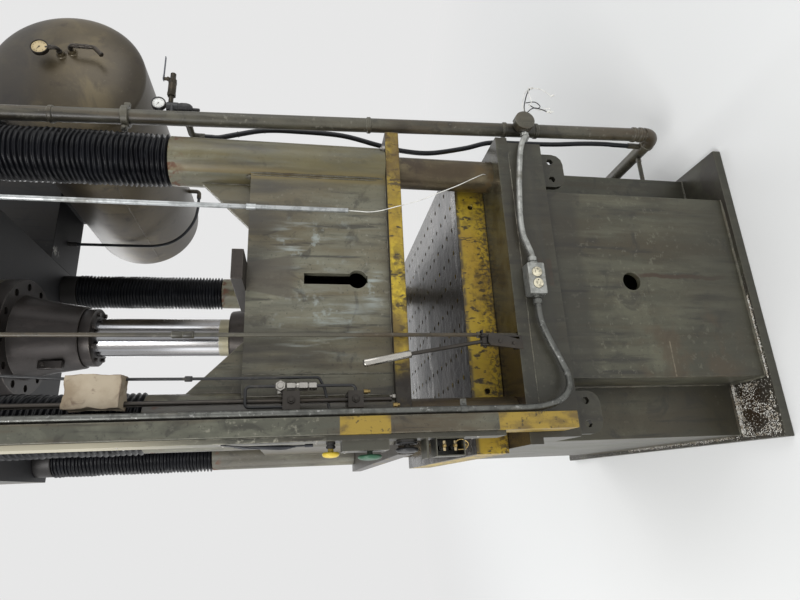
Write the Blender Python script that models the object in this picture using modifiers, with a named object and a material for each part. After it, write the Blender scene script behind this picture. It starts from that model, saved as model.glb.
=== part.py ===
"""Four-column hydraulic press with a down-acting ram, an air tank and a hand lever.

X runs to the operator's right, Y away from the operator and Z up. The origin is the middle of
the base plate's underside, on the floor. All sizes are in metres.
"""
import math

import bmesh
import bpy
from mathutils import Matrix, Vector

# Clearances
SEAT_GAP = 0.0003
RUNNING_GAP = 0.0006
AIR_GAP = 0.004
WELD = 0.002

# Base plate and pedestal
BASE_HALF_WIDTH = 0.540
BASE_HALF_DEPTH = 0.780
FRONT_FACE = -BASE_HALF_DEPTH
BASE_THICKNESS = 0.033
PEDESTAL_HALF_WIDTH = 0.518
PEDESTAL_HALF_DEPTH = BASE_HALF_DEPTH - 0.193
PEDESTAL_HEIGHT = 0.8397
PEDESTAL_WALL = 0.022
FRONT_BOX_HALF_WIDTH = 0.336
FRONT_BOX_INSET = 0.021
PEDESTAL_HOLE_RADIUS = 0.0325
PEDESTAL_HOLE_HEIGHT = 0.4675

# Bed, aprons, lugs and bolster
BED_HALF_WIDTH = 0.537
BED_THICKNESS = 0.043
APRON_HEIGHT = 0.125
APRON_WALL = 0.012
LUG_WIDTH = 0.136
LUG_HEIGHT = 0.140
LUG_THICKNESS = 0.020
LUG_SETBACK = 0.045
LUG_CORNER = 0.040
LUG_HOLE_RADIUS = 0.013
LUG_HOLE_SPACING = 0.073
LUG_HOLE_HEIGHT = 0.050
BOLSTER_HALF_WIDTH = 0.5515
BOLSTER_HALF_DEPTH = BASE_HALF_DEPTH - 0.180
BOLSTER_THICKNESS = 0.1127
BOLSTER_HOLE_RADIUS = 0.0095
BOLSTER_HOLE_DEPTH = 0.030
BOLSTER_HOLE_COLUMNS = 6
BOLSTER_HOLE_ROWS = 8
BOLSTER_HOLE_PITCH_X = 0.190
BOLSTER_HOLE_PITCH_Y = 0.150
LIFTING_HOLE_RADIUS = 0.010
LIFTING_HOLE_X = 0.347

# Columns, nuts and collars
COLUMN_X = 0.4344
COLUMN_Y = BASE_HALF_DEPTH - 0.1067
COLUMN_RADIUS = 0.0566
NUT_RADIUS = 0.078
LOWER_NUT_HEIGHT = 0.072
UPPER_NUT_HEIGHT = 0.070
COLUMN_THREAD_END = 0.012
COLLAR_RADIUS = 0.086
COLLAR_HEIGHT = 0.078

# Crown and main cylinder
OPENING_HEIGHT = 1.929
CROWN_HALF_WIDTH = 0.540
CROWN_HALF_DEPTH = BASE_HALF_DEPTH
CROWN_HEIGHT = 0.500
CYLINDER_BODY_RADIUS = 0.190
FLANGE_RADIUS = 0.236
FLANGE_THICKNESS = 0.060
RING_HEIGHT = 0.100
BARREL_TOP_RADIUS = 0.168
BARREL_END_RADIUS = 0.128
BARREL_LENGTH = 0.228
CYLINDER_END_WALL = 0.043
CYLINDER_CAP_WALL = 0.060
CYLINDER_CAP_RISE = 0.050
CYLINDER_BORE_RADIUS = 0.118
GLAND_RADIUS = 0.120
GLAND_HEIGHT = 0.045
CYLINDER_BOLT_COUNT = 12
CYLINDER_BOLT_CIRCLE = 0.204
CYLINDER_BOLT_RADIUS = 0.012
COUNTERBORE_RADIUS = 0.0155
COUNTERBORE_DEPTH = 0.026
BOLT_HEAD_HEIGHT = 0.018
BLEED_BLOCK = (0.032, 0.030, 0.088)
BLEED_BLOCK_PLACE = (-0.131, -0.080)
BLEED_BLOCK_RISE = 0.093

# Slide, platen and ram
DAYLIGHT = 0.236
PLATEN_HALF_WIDTH = 0.5506
PLATEN_HALF_DEPTH = BASE_HALF_DEPTH - 0.0275
PLATEN_THICKNESS = 0.048
SLIDE_HALF_WIDTH = 0.460
SLIDE_HALF_DEPTH = COLUMN_Y + 0.0559
SLIDE_HEIGHT = 0.4517
SLIDE_WALL = 0.025
SLIDE_RIB_X = 0.150
SLEEVE_RADIUS = 0.083
SLEEVE_LENGTH = 0.7147
GUSSET_SIZE = 0.165
GUSSET_THICKNESS = 0.020
KEYHOLE_WIDTH = 0.037
KEYHOLE_TOP_DROP = 0.177
KEYHOLE_CENTRE_DROP = 0.347
KEYHOLE_RADIUS = 0.031
KEYHOLE_NOTCH_WIDTH = 0.026
KEYHOLE_NOTCH_DROP = 0.380
STOP_BAR_X = 0.0055
STOP_BAR_WIDTH = 0.095
STOP_BAR_LENGTH = 0.330
STOP_BAR_THICKNESS = 0.035
STOP_BAR_OVERHANG = 0.100
RAM_FLANGE_RADIUS = 0.130
RAM_FLANGE_HEIGHT = 0.1245
RAM_RADIUS = 0.0785
RAM_REACH = 0.2634
PISTON_HEIGHT = 0.080

# Bellows round the columns
BELLOWS_RADIUS = 0.088
BELLOWS_ROOT_RADIUS = 0.074
BELLOWS_BORE_RADIUS = 0.0625
BELLOWS_FOLDS = 22
BELLOWS_SIDES = 10

# Air tank and its outriggers
TANK_X = 1.003
TANK_RADIUS = 0.298
TANK_FRONT_Y = -0.350
TANK_LENGTH = 1.270
TANK_DISH = 0.075
TANK_DISH_STEPS = 4
OUTRIGGER_LENGTH = 0.700
OUTRIGGER_HEIGHT = 0.460
OUTRIGGER_WIDTHS = (0.100, 0.330)
OUTRIGGER_Y = (-0.150, BASE_HALF_DEPTH - OUTRIGGER_WIDTHS[1] / 2)
SADDLE_HALF_WIDTH = 0.120
SADDLE_LIFT = 0.007
SADDLE_INSET = 0.010
TANK_GAUGE_RADIUS = 0.033
TANK_GAUGE_STEM = 0.008
TANK_GAUGE_REACH = 0.030
TANK_GAUGE_DEPTH = 0.020
TANK_GAUGE_OFFSET = (0.0444, 0.0067)
TANK_GAUGE_SHIFT = (-0.0116, 0.0580)
TANK_COCK_OFFSET = (0.062, -0.032)
TANK_COCK_REACH = 0.024
TANK_COCK_DROP = (0.090, 0.035)
BOSS_RADIUS = 0.015
BOSS_HEIGHT = 0.016

# Air pipe on the right, with what hangs on it
PIPE_RADIUS = 0.027
PIPE_Y = FRONT_FACE + 0.100
PIPE_TOP_X = 0.5675
PIPE_TOP_RISE = 0.1047
PIPE_FOOT = (0.6650, 0.270)
PIPE_ELBOW_RADIUS = 0.055
PIPE_FOOT_Z = 0.185
PIPE_RETURN_Y = 0.100
BRANCH_Y = PIPE_Y + 0.130
BRANCH_RADIUS = 0.0095
PIPE_CLAMP_HEIGHT = 2.190
PIPE_CLAMP_THICKNESS = 0.030
PIPE_CLAMP_RADIUS = 0.040
JUNCTION_HEIGHT = 0.775
JUNCTION_RADIUS = 0.036
JUNCTION_DEPTH = 0.036
JUNCTION_COVER_DEPTH = 0.008
JUNCTION_COVER_LIP = 0.002
REGULATOR_Y = PIPE_Y + 0.030
REGULATOR_X = 0.664
REGULATOR_RADIUS = 0.021
REGULATOR_HEIGHT = 0.085
REGULATOR_BASE = 1.985
REGULATOR_TAPER = 0.015
REGULATOR_DRAIN_RADIUS = 0.006
REGULATOR_DRAIN_LENGTH = 0.025
NIPPLE_RADIUS = 0.008
NIPPLE_DROP = 0.020
GAUGE_RADIUS = 0.026
GAUGE_DEPTH = 0.018
GAUGE_OFFSET = 0.008
VALVE_RADIUS = 0.014
VALVE_LENGTH = 0.125
VALVE_DROP = 0.010
VALVE_NECK_LENGTH = 0.030
VALVE_END_LENGTH = 0.022
VALVE_STEM_X = 0.788
VALVE_STEM_RADIUS = 0.006
VALVE_STEM_RISE = 0.030
LEVER_LENGTH = 0.100
LEVER_WIDTH = 0.014
LEVER_THICKNESS = 0.004

# Control post, conduits and boxes at the left front
POST_LEFT = -0.500
POST_WIDTH = 0.048
POST_DEPTH = 0.0997
POST_FOOT = 0.803
POST_RISE_ON_CROWN = 0.300
POST_WALL = 0.005
RACEWAY_DEPTH = 0.084
RACEWAY_PROUD = 0.014
RACEWAY_FOOT = 1.020
CONDUIT_RADIUS = 0.0103
CONDUIT_Y = FRONT_FACE - 0.085
CONDUIT_BEND_TOP = 0.960
CONDUIT_BEND_ROUTE = ((-0.4360, 0.0800, 0.9050), (-0.4200, 0.0680, 0.8450), (-0.3860, 0.0500, 0.7980),
                      (-0.3400, 0.0340, 0.7830), (-0.2850, 0.0260, 0.7970), (-0.2250, 0.0250, 0.8220),
                      (-0.1600, 0.0250, 0.8430), (-0.1080, 0.0250, 0.8465))
OUTLET_X = -0.0195
OUTLET_WIDTH = 0.107
OUTLET_HEIGHT = 0.060
OUTLET_DEPTH = 0.048
OUTLET_CENTRE = 0.8465
RECEPTACLE_RADIUS = 0.0165
RECEPTACLE_SPACING = 0.0389
RECEPTACLE_PROUD = 0.003
RECEPTACLE_YOKE = 0.012
RIGHT_CONDUIT_ROUTE = ((0.1050, 0.0250, 0.8570), (0.1400, 0.0250, 0.8670), (0.2000, 0.0250, 0.8700),
                       (0.3000, 0.0250, 0.8620), (0.4100, 0.0250, 0.8480), (0.4800, 0.0240, 0.8350),
                       (0.5250, 0.0170, 0.8150), (0.5550, -0.0100, 0.7900))
CONDUIT_ENTRY = 0.036
STRAP_HEIGHT = CONDUIT_BEND_TOP + 0.180
STRAP_WIDTH = 0.022
STRAP_REACH = 0.030
STRAP_THICKNESS = 0.002
STUB_X = 0.2030
STUB_Y = FRONT_FACE - 0.030
STUB_RADIUS = 0.0078
STUB_END = 1.452

# Operator stations on the post
STATION_BOX = (0.028, 0.078, 0.128)
STATION_BOX_BASE = 1.355
GREEN_BUTTON_RADIUS = 0.034
GREEN_BUTTON_HEIGHT = 1.405
BLACK_BUTTON_RADIUS = 0.033
BLACK_BUTTON_HEIGHT = 1.300
BUTTON_CAP = 0.015
BUTTON_STEM_RADIUS = 0.008
BUTTON_STEM_LENGTH = 0.009
BUTTON_STEM_DEPTH = 0.006
BUTTON_BORE_DEPTH = 0.012
BLACK_BASE_RADIUS = 0.030
BLACK_BASE_LENGTH = 0.013
STOP_BUTTON_HEIGHT = 1.512
STOP_BASE_RADIUS = 0.013
STOP_BASE_LENGTH = 0.018
STOP_HEAD_RADIUS = 0.024
CONTACT_BOX = (0.050, 0.070, 0.082)
CONTACT_BOX_BASE = 1.142
CONTACT_WALL = 0.003
CONTACT_RADIUS = 0.007
CONTACT_REACH = 0.024
SHELF = (0.054, 0.076, 0.006)
SHELF_HEIGHT = 1.246

# Pilot valves and tubes beside the post
VALVE_PIPE_X = -0.3970
VALVE_PIPE_Y = FRONT_FACE - 0.020
VALVE_PIPE_RADIUS = 0.0080
VALVE_PIPE_END = 1.335
HANGING_RISE = 0.150
CLIP_HEIGHT = 0.035
PILOT_TUBE_RADIUS = 0.0048
UPPER_VALVE = (0.052, 0.040, 0.048)
UPPER_VALVE_HEIGHT = 1.620
LOWER_VALVE = (0.048, 0.044, 0.044)
LOWER_VALVE_HEIGHT = 1.440
FITTING_RADIUS = 0.0095
FITTING_X = -0.3570
FITTING_HEIGHT = 1.604
FITTING_SPACING = 0.046
FITTING_LENGTH = 0.034
TUBE_OFFSET = 0.018
TUBE_LOOP_TOP = 1.745
TUBE_BEND = 0.010
WIRING_BOX = (0.094, 0.060, 0.145)
WIRING_BOX_CENTRE = (-0.3680, FRONT_FACE - 0.032, 2.130)

# Hand lever and trip rod
ROD_X = -0.1960
ROD_Y = FRONT_FACE + 0.010
ROD_RADIUS = 0.0065
ROD_FOOT = 0.882
ROD_HEADROOM = 0.012
ROD_HOLE_CLEARANCE = 0.003
ROD_COUPLING_RADIUS = 0.0110
ROD_COUPLING_HEIGHT = 1.930
ROD_COUPLING_LENGTH = 0.060
ROD_COLLAR_RADIUS = 0.0105
ROD_COLLAR_HEIGHT = 1.0455
ROD_COLLAR_LENGTH = 0.008
ROD_GUIDE_SIZE = (0.050, 0.030, 0.045)
LEVER_PIVOT = (-0.2225, FRONT_FACE - 0.015, 1.034)
LEVER_PIN_RADIUS = 0.0060
LEVER_HUB_RADIUS = 0.0130
LEVER_HUB_WIDTH = 0.020
LEVER_SIDE_GAP = 0.001
LEVER_CHEEK = 0.005
LEVER_FOOT_DEPTH = 0.035
LEVER_FOOT_THICKNESS = 0.008
LEVER_ROD_RADIUS = 0.0062
LEVER_GRIP_RADIUS = 0.0115
LEVER_GRIP_FOOT = (-0.2710, FRONT_FACE - 0.053, 1.279)
LEVER_GRIP_HEAD = (-0.3020, FRONT_FACE - 0.072, 1.419)
LEVER_ARM_THICKNESS = 0.006
LEVER_EYE_HALF = 0.0125

# Hoses and the loose wire, free between their ends
HOSE_RADIUS = 0.0095
HOSE_FITTING_RADIUS = 0.0125
HOSE_FITTING_LENGTH = 0.045
ELBOW_RADIUS = 0.018
HOSE_ROUTE = ((0.6090, -0.2100, 1.9500), (0.6090, -0.2100, 1.9250), (0.6090, -0.2100, 1.9000),
              (0.6330, -0.2170, 1.8350), (0.6590, -0.2200, 1.7400), (0.6640, -0.2200, 1.6200),
              (0.6580, -0.2200, 1.4500), (0.6250, -0.2200, 1.3100), (0.6050, -0.2200, 1.2100),
              (0.6030, -0.2200, 1.1000), (0.6340, -0.2200, 0.9600), (0.6680, -0.2200, 0.8500),
              (0.6740, -0.2200, 0.7200), (0.6760, -0.2150, 0.5800), (0.6800, -0.2020, 0.4500),
              (0.6740, -0.1870, 0.3700), (0.6681, -0.1800, 0.3150), (0.6681, -0.1800, 0.2880),
              (0.6681, -0.1800, 0.2620))
TANK_HOSE_RADIUS = 0.0080
TANK_HOSE_ROUTE = ((0.6900, -0.0050, 0.0450), (0.6900, -0.0050, 0.1053),
                   (0.6900, -0.0050, 0.2453), (0.6900, -0.0050, 0.3653), (0.6930, -0.0050, 0.4453),
                   (0.7120, -0.0050, 0.5153), (0.7520, -0.0050, 0.5733), (0.8100, -0.0050, 0.6173),
                   (0.8750, -0.0050, 0.6453), (0.9500, -0.0050, 0.6553), (0.9750, -0.0050, 0.6553),
                   (1.0000, -0.0050, 0.6553))
WIRE_RADIUS = 0.0014
WIRE_ROUTE = ((0.2030, 0.0300, 1.4517), (0.2020, 0.0300, 1.4200), (0.2010, 0.0300, 1.3850),
              (0.2080, 0.0300, 1.3450), (0.2230, 0.0295, 1.3000), (0.2500, 0.0280, 1.2200),
              (0.2840, 0.0250, 1.1500), (0.3190, 0.0190, 1.0800), (0.3560, 0.0070, 1.0200),
              (0.3920, -0.0200, 0.9720), (0.4130, -0.0525, 0.9480))

# Levels that stack up from the floor
PEDESTAL_BASE = BASE_THICKNESS + SEAT_GAP
PEDESTAL_TOP = PEDESTAL_BASE + PEDESTAL_HEIGHT
BED_BOTTOM = PEDESTAL_TOP + SEAT_GAP
BED_TOP = BED_BOTTOM + BED_THICKNESS
BOLSTER_BOTTOM = BED_TOP + SEAT_GAP
BOLSTER_TOP = BOLSTER_BOTTOM + BOLSTER_THICKNESS
PLATEN_BOTTOM = BOLSTER_TOP + DAYLIGHT
PLATEN_TOP = PLATEN_BOTTOM + PLATEN_THICKNESS
SLIDE_BOTTOM = PLATEN_TOP + SEAT_GAP
SLIDE_TOP = SLIDE_BOTTOM + SLIDE_HEIGHT
SLEEVE_TOP = SLIDE_BOTTOM + SLEEVE_LENGTH
RAM_FLANGE_BOTTOM = SLIDE_TOP + SEAT_GAP
RAM_BOTTOM = RAM_FLANGE_BOTTOM + RAM_FLANGE_HEIGHT + SEAT_GAP
CROWN_BOTTOM = BED_TOP + OPENING_HEIGHT
CROWN_TOP = CROWN_BOTTOM + CROWN_HEIGHT
PIPE_TOP = (PIPE_TOP_X, CROWN_BOTTOM + PIPE_TOP_RISE)
FLANGE_TOP = CROWN_BOTTOM - RING_HEIGHT - SEAT_GAP
FLANGE_BOTTOM = FLANGE_TOP - FLANGE_THICKNESS
BARREL_BOTTOM = FLANGE_BOTTOM - BARREL_LENGTH
RAM_TOP = BARREL_BOTTOM + RAM_REACH
CYLINDER_TOP = CROWN_TOP + CYLINDER_CAP_RISE
COLUMN_BOTTOM = BED_BOTTOM - SEAT_GAP - LOWER_NUT_HEIGHT - COLUMN_THREAD_END
COLUMN_TOP = CROWN_TOP + SEAT_GAP + UPPER_NUT_HEIGHT + COLUMN_THREAD_END
TANK_AXIS_Z = CROWN_BOTTOM - SADDLE_LIFT - TANK_RADIUS
BED_HALF_DEPTH = BASE_HALF_DEPTH
POST_BACK = FRONT_FACE - SEAT_GAP
CONDUIT_X = POST_LEFT + POST_WIDTH + SEAT_GAP + STRAP_THICKNESS + CONDUIT_RADIUS

ROUND = 20
FINE_ROUND = 24
HOLE_ROUND = 6
COARSE_ROUND = 12

COLOURS = {
    "frame_paint": ((0.115, 0.120, 0.095), 0.55, 0.2),
    "slide_paint": ((0.150, 0.165, 0.135), 0.50, 0.2),
    "yellow_paint": ((0.520, 0.380, 0.040), 0.50, 0.0),
    "column_steel": ((0.210, 0.180, 0.130), 0.32, 0.8),
    "chrome": ((0.750, 0.750, 0.740), 0.12, 1.0),
    "dark_casting": ((0.110, 0.095, 0.080), 0.55, 0.4),
    "black_rubber": ((0.018, 0.019, 0.024), 0.45, 0.0),
    "tank_steel": ((0.160, 0.130, 0.090), 0.42, 0.7),
    "zinc": ((0.420, 0.430, 0.410), 0.45, 0.8),
    "pipe_paint": ((0.130, 0.120, 0.085), 0.50, 0.4),
    "black_plastic": ((0.020, 0.020, 0.020), 0.50, 0.0),
    "green_plastic": ((0.070, 0.220, 0.110), 0.45, 0.0),
    "yellow_plastic": ((0.750, 0.550, 0.050), 0.40, 0.0),
    "ivory_plastic": ((0.700, 0.620, 0.400), 0.45, 0.0),
    "beige_paint": ((0.330, 0.270, 0.200), 0.55, 0.1),
    "white_insulation": ((0.800, 0.790, 0.750), 0.50, 0.0),
    "bolt_steel": ((0.090, 0.085, 0.080), 0.40, 0.8),
}


def clear_scene():
    for item in list(bpy.data.objects):
        bpy.data.objects.remove(item, do_unlink=True)
    for collection in list(bpy.data.collections):
        bpy.data.collections.remove(collection)


def new_collection(name):
    collection = bpy.data.collections.new(name)
    bpy.context.scene.collection.children.link(collection)
    return collection


clear_scene()
PARTS = new_collection("hydraulic_press")
CUTTERS = new_collection("cutters")
GUIDES = new_collection("joint_axes")


def finish(name):
    """Returns the named material, made once."""
    found = bpy.data.materials.get(name)
    if found:
        return found
    colour, roughness, metallic = COLOURS[name]
    made = bpy.data.materials.new(name)
    made.use_nodes = True
    shader = made.node_tree.nodes["Principled BSDF"]
    shader.inputs["Base Color"].default_value = (*colour, 1.0)
    shader.inputs["Roughness"].default_value = roughness
    shader.inputs["Metallic"].default_value = metallic
    return made


def add_object(name, data, material, location=(0.0, 0.0, 0.0)):
    made = bpy.data.objects.new(name, data)
    made.location = location
    PARTS.objects.link(made)
    if material:
        data.materials.append(finish(material))
    return made


def as_cutter(made):
    """Moves an object among the cutters, which are shown as wires."""
    PARTS.objects.unlink(made)
    CUTTERS.objects.link(made)
    made.hide_render = True
    made.display_type = "WIRE"
    return made


def mesh_from(builder, name):
    """Runs a bmesh builder and returns its mesh."""
    work = bmesh.new()
    builder(work)
    bmesh.ops.recalc_face_normals(work, faces=work.faces)
    mesh = bpy.data.meshes.new(name)
    work.to_mesh(mesh)
    work.free()
    return mesh


def smooth(mesh):
    mesh.shade_smooth()
    mesh.set_sharp_from_angle(angle=math.radians(35))


def cube_into(work, low, high):
    size = [b - a for a, b in zip(low, high)]
    centre = [(a + b) / 2 for a, b in zip(low, high)]
    place = Matrix.Translation(centre) @ Matrix.Diagonal((*size, 1.0))
    bmesh.ops.create_cube(work, size=1.0, matrix=place)


def rod_into(work, centre, radius, length, axis="Z", sides=COARSE_ROUND):
    """Adds a closed cylinder along an axis, its middle at centre."""
    turn = {"X": Matrix.Rotation(math.pi / 2, 4, "Y"), "Y": Matrix.Rotation(-math.pi / 2, 4, "X"),
            "Z": Matrix.Identity(4)}[axis]
    bmesh.ops.create_cone(work, cap_ends=True, cap_tris=False, segments=sides, radius1=radius,
                          radius2=radius, depth=length, matrix=Matrix.Translation(centre) @ turn)


def box(name, low, high, material):
    """One box between two corners, with its object at the box's middle."""
    centre = Vector([(a + b) / 2 for a, b in zip(low, high)])
    mesh = mesh_from(lambda work: cube_into(work, Vector(low) - centre, Vector(high) - centre), name)
    return add_object(name, mesh, material, centre)


def boxes(name, corners, material):
    """Several separate boxes in one object."""
    def build(work):
        for low, high in corners:
            cube_into(work, low, high)
    return add_object(name, mesh_from(build, name), material)


def rods(name, rows, material):
    """Several separate cylinders in one object; a row is centre, radius, length, axis, sides."""
    def build(work):
        for centre, radius, length, axis, sides in rows:
            rod_into(work, centre, radius, length, axis, sides)
    made = add_object(name, mesh_from(build, name), material)
    smooth(made.data)
    return made


def turned(name, profiles, material, location=(0.0, 0.0, 0.0), sides=ROUND, axis="Z"):
    """Turns closed profiles of (radius, height) points about an axis.

    A profile whose ends lie on the axis is left open there, and one that doesn't is closed. The
    outer side runs from top to bottom.
    """
    mesh = bpy.data.meshes.new(name)
    points, edges = [], []
    for profile in profiles:
        first = len(points)
        points += [(radius, 0.0, height) for radius, height in profile]
        edges += [(first + i, first + i + 1) for i in range(len(profile) - 1)]
        if profile[0][0] > 0 and profile[-1][0] > 0:
            edges.append((first + len(profile) - 1, first))
    mesh.from_pydata(points, edges, [])
    made = add_object(name, mesh, material, location)
    made.rotation_euler = {"X": (0.0, math.pi / 2, 0.0), "Y": (-math.pi / 2, 0.0, 0.0),
                           "Z": (0.0, 0.0, 0.0)}[axis]
    turn = made.modifiers.new("turn", "SCREW")
    turn.steps = sides
    turn.render_steps = sides
    turn.use_merge_vertices = True
    turn.merge_threshold = 0.00001
    turn.use_smooth_shade = False
    return made


def ring_profile(inner, outer, low, high):
    return [(inner, high), (outer, high), (outer, low), (inner, low)]


def bar_profile(radius, low, high):
    return [(0.0, high), (radius, high), (radius, low), (0.0, low)]


def tube(name, points, radius, material, resolution=2):
    """A round tube along points, as a curve with filled caps."""
    curve = bpy.data.curves.new(name, "CURVE")
    curve.dimensions = "3D"
    curve.bevel_depth = radius
    curve.bevel_resolution = resolution
    curve.use_fill_caps = True
    spline = curve.splines.new("POLY")
    spline.points.add(len(points) - 1)
    for point, place in zip(spline.points, points):
        point.co = (*place, 1.0)
    return add_object(name, curve, material)


def plate(name, outline, thickness, material, location):
    """A flat plate in the XZ plane, its outline a list of (x, z), thick along Y."""
    curve = bpy.data.curves.new(name, "CURVE")
    curve.dimensions = "2D"
    curve.fill_mode = "BOTH"
    curve.extrude = thickness / 2
    spline = curve.splines.new("POLY")
    spline.points.add(len(outline) - 1)
    for point, (x, z) in zip(spline.points, outline):
        point.co = (x, z, 0.0, 1.0)
    spline.use_cyclic_u = True
    made = add_object(name, curve, material, location)
    made.rotation_euler = (math.pi / 2, 0.0, 0.0)
    return made


def to_mesh(made):
    """Replaces a curve object by a closed mesh object of the same name, place and material."""
    bpy.context.view_layer.update()
    graph = bpy.context.evaluated_depsgraph_get()
    mesh = bpy.data.meshes.new_from_object(made.evaluated_get(graph))
    work = bmesh.new()
    work.from_mesh(mesh)
    bmesh.ops.remove_doubles(work, verts=work.verts, dist=0.00001)
    bmesh.ops.triangulate(work, faces=work.faces)
    bmesh.ops.recalc_face_normals(work, faces=work.faces)
    work.to_mesh(mesh)
    work.free()
    name, place = made.name, made.matrix_world.copy()
    bpy.data.objects.remove(made, do_unlink=True)
    solid = bpy.data.objects.new(name, mesh)
    solid.matrix_world = place
    PARTS.objects.link(solid)
    return solid


def cut(target, cutter, operation="DIFFERENCE"):
    """Cuts an object by a cutter, or joins the two with operation UNION."""
    step = target.modifiers.new(cutter.name, "BOOLEAN")
    step.operation = operation
    step.solver = "EXACT"
    step.object = as_cutter(cutter)
    return target


def quarters(made):
    """Repeats an object at the four corners of the press, by mirrors about its middle planes."""
    repeat = made.modifiers.new("corners", "MIRROR")
    repeat.use_axis = (True, True, False)
    repeat.use_bisect_axis = (False, False, False)
    repeat.use_mirror_merge = False
    repeat.mirror_object = CENTRE
    return made


def corners_of_press():
    """The four columns' names and places."""
    return [("%s_%s" % (y_name, x_name), sx * COLUMN_X, sy * COLUMN_Y)
            for x_name, sx in (("left", -1), ("right", 1)) for y_name, sy in (("front", -1), ("rear", 1))]


def axis_empty(name, place):
    made = bpy.data.objects.new(name, None)
    made.empty_display_size = 0.1
    made.location = place
    GUIDES.objects.link(made)
    return made


def carry(parent, *pieces):
    """Parents moving pieces to the empty on their joint's axis, each in its place."""
    bpy.context.view_layer.update()
    for piece in pieces:
        piece.parent = parent
        piece.matrix_parent_inverse = parent.matrix_world.inverted()


CENTRE = axis_empty("press_centre", (0.0, 0.0, 0.0))


def arc(centre, radius, start, end, steps):
    """Points on a circle from one angle to another, in degrees."""
    return [(centre[0] + radius * math.cos(math.radians(start + (end - start) * i / steps)),
             centre[1] + radius * math.sin(math.radians(start + (end - start) * i / steps)))
            for i in range(steps + 1)]


def in_front(route):
    """World places of points given by X, their distance in front of the bed's face, and Z."""
    return [(x, FRONT_FACE - ahead, z) for x, ahead, z in route]


def under_crown(route):
    """World places of points given by X, their distance in front of the rear outrigger and below the crown."""
    return [(x, OUTRIGGER_Y[1] - ahead, CROWN_BOTTOM - below) for x, ahead, below in route]


def smooth_route(route, spacing):
    """Points at about equal spacing along a smooth curve through the route's own points."""
    points = [Vector(p) for p in route]
    padded = [2 * points[0] - points[1], *points, 2 * points[-1] - points[-2]]
    dense = [points[0]]
    for a, b, c, d in zip(padded, padded[1:], padded[2:], padded[3:]):
        steps = max(2, round((c - b).length / spacing))
        for i in range(1, steps + 1):
            t = i / steps
            dense.append(0.5 * (2 * b + (c - a) * t + (2 * a - 5 * b + 4 * c - d) * t * t
                                + (3 * b - a - 3 * c + d) * t ** 3))
    return [tuple(p) for p in dense]


def bent_route(corners, radius, steps=5):
    """A route of straight runs with round bends at its inner corners."""
    points = [Vector(p) for p in corners]
    route = [points[0]]
    for before, corner, after in zip(points, points[1:], points[2:]):
        inward = (before - corner).normalized()
        outward = (after - corner).normalized()
        half = inward.angle(outward) / 2
        reach = radius / math.tan(half)
        middle = corner + (inward + outward).normalized() * radius / math.sin(half)
        start, end = corner + inward * reach, corner + outward * reach
        for i in range(steps + 1):
            t = i / steps
            spoke = (start - middle).slerp(end - middle, t)
            route.append(middle + spoke.normalized() * radius)
    route.append(points[-1])
    return [tuple(p) for p in route]


def base_and_pedestal():
    """The base plate, and the hollow pedestal with a narrower box at its front and rear."""
    box("base_plate", (-BASE_HALF_WIDTH, -BASE_HALF_DEPTH, 0.0),
        (BASE_HALF_WIDTH, BASE_HALF_DEPTH, BASE_THICKNESS), "frame_paint")
    front = BASE_HALF_DEPTH - FRONT_BOX_INSET
    wide, narrow, deep = PEDESTAL_HALF_WIDTH, FRONT_BOX_HALF_WIDTH, PEDESTAL_HALF_DEPTH
    low, high = PEDESTAL_BASE, PEDESTAL_TOP
    over = AIR_GAP
    pedestal = box("pedestal", (-wide, -deep, low), (wide, deep, high), "frame_paint")
    ends = box("pedestal_boxes", (-narrow, -front, low), (narrow, front, high), None)
    cut(pedestal, ends, "UNION")
    wall = PEDESTAL_WALL
    inside = box("pedestal_inside", (-wide + wall, -deep + wall, low - over),
                 (wide - wall, deep - wall, high + over), None)
    cut(pedestal, inside)
    for side in (-1, 1):
        y = sorted((side * (deep + over), side * (front - wall)))
        pocket = box("box_inside", (-narrow + wall, y[0], low - over), (narrow - wall, y[1], high + over), None)
        cut(pedestal, pocket)
    hole = rods("pedestal_hole", [((0.0, -front, PEDESTAL_HOLE_HEIGHT), PEDESTAL_HOLE_RADIUS, 4 * wall, "Y",
                                   ROUND)],
                None)
    cut(pedestal, hole)


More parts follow.
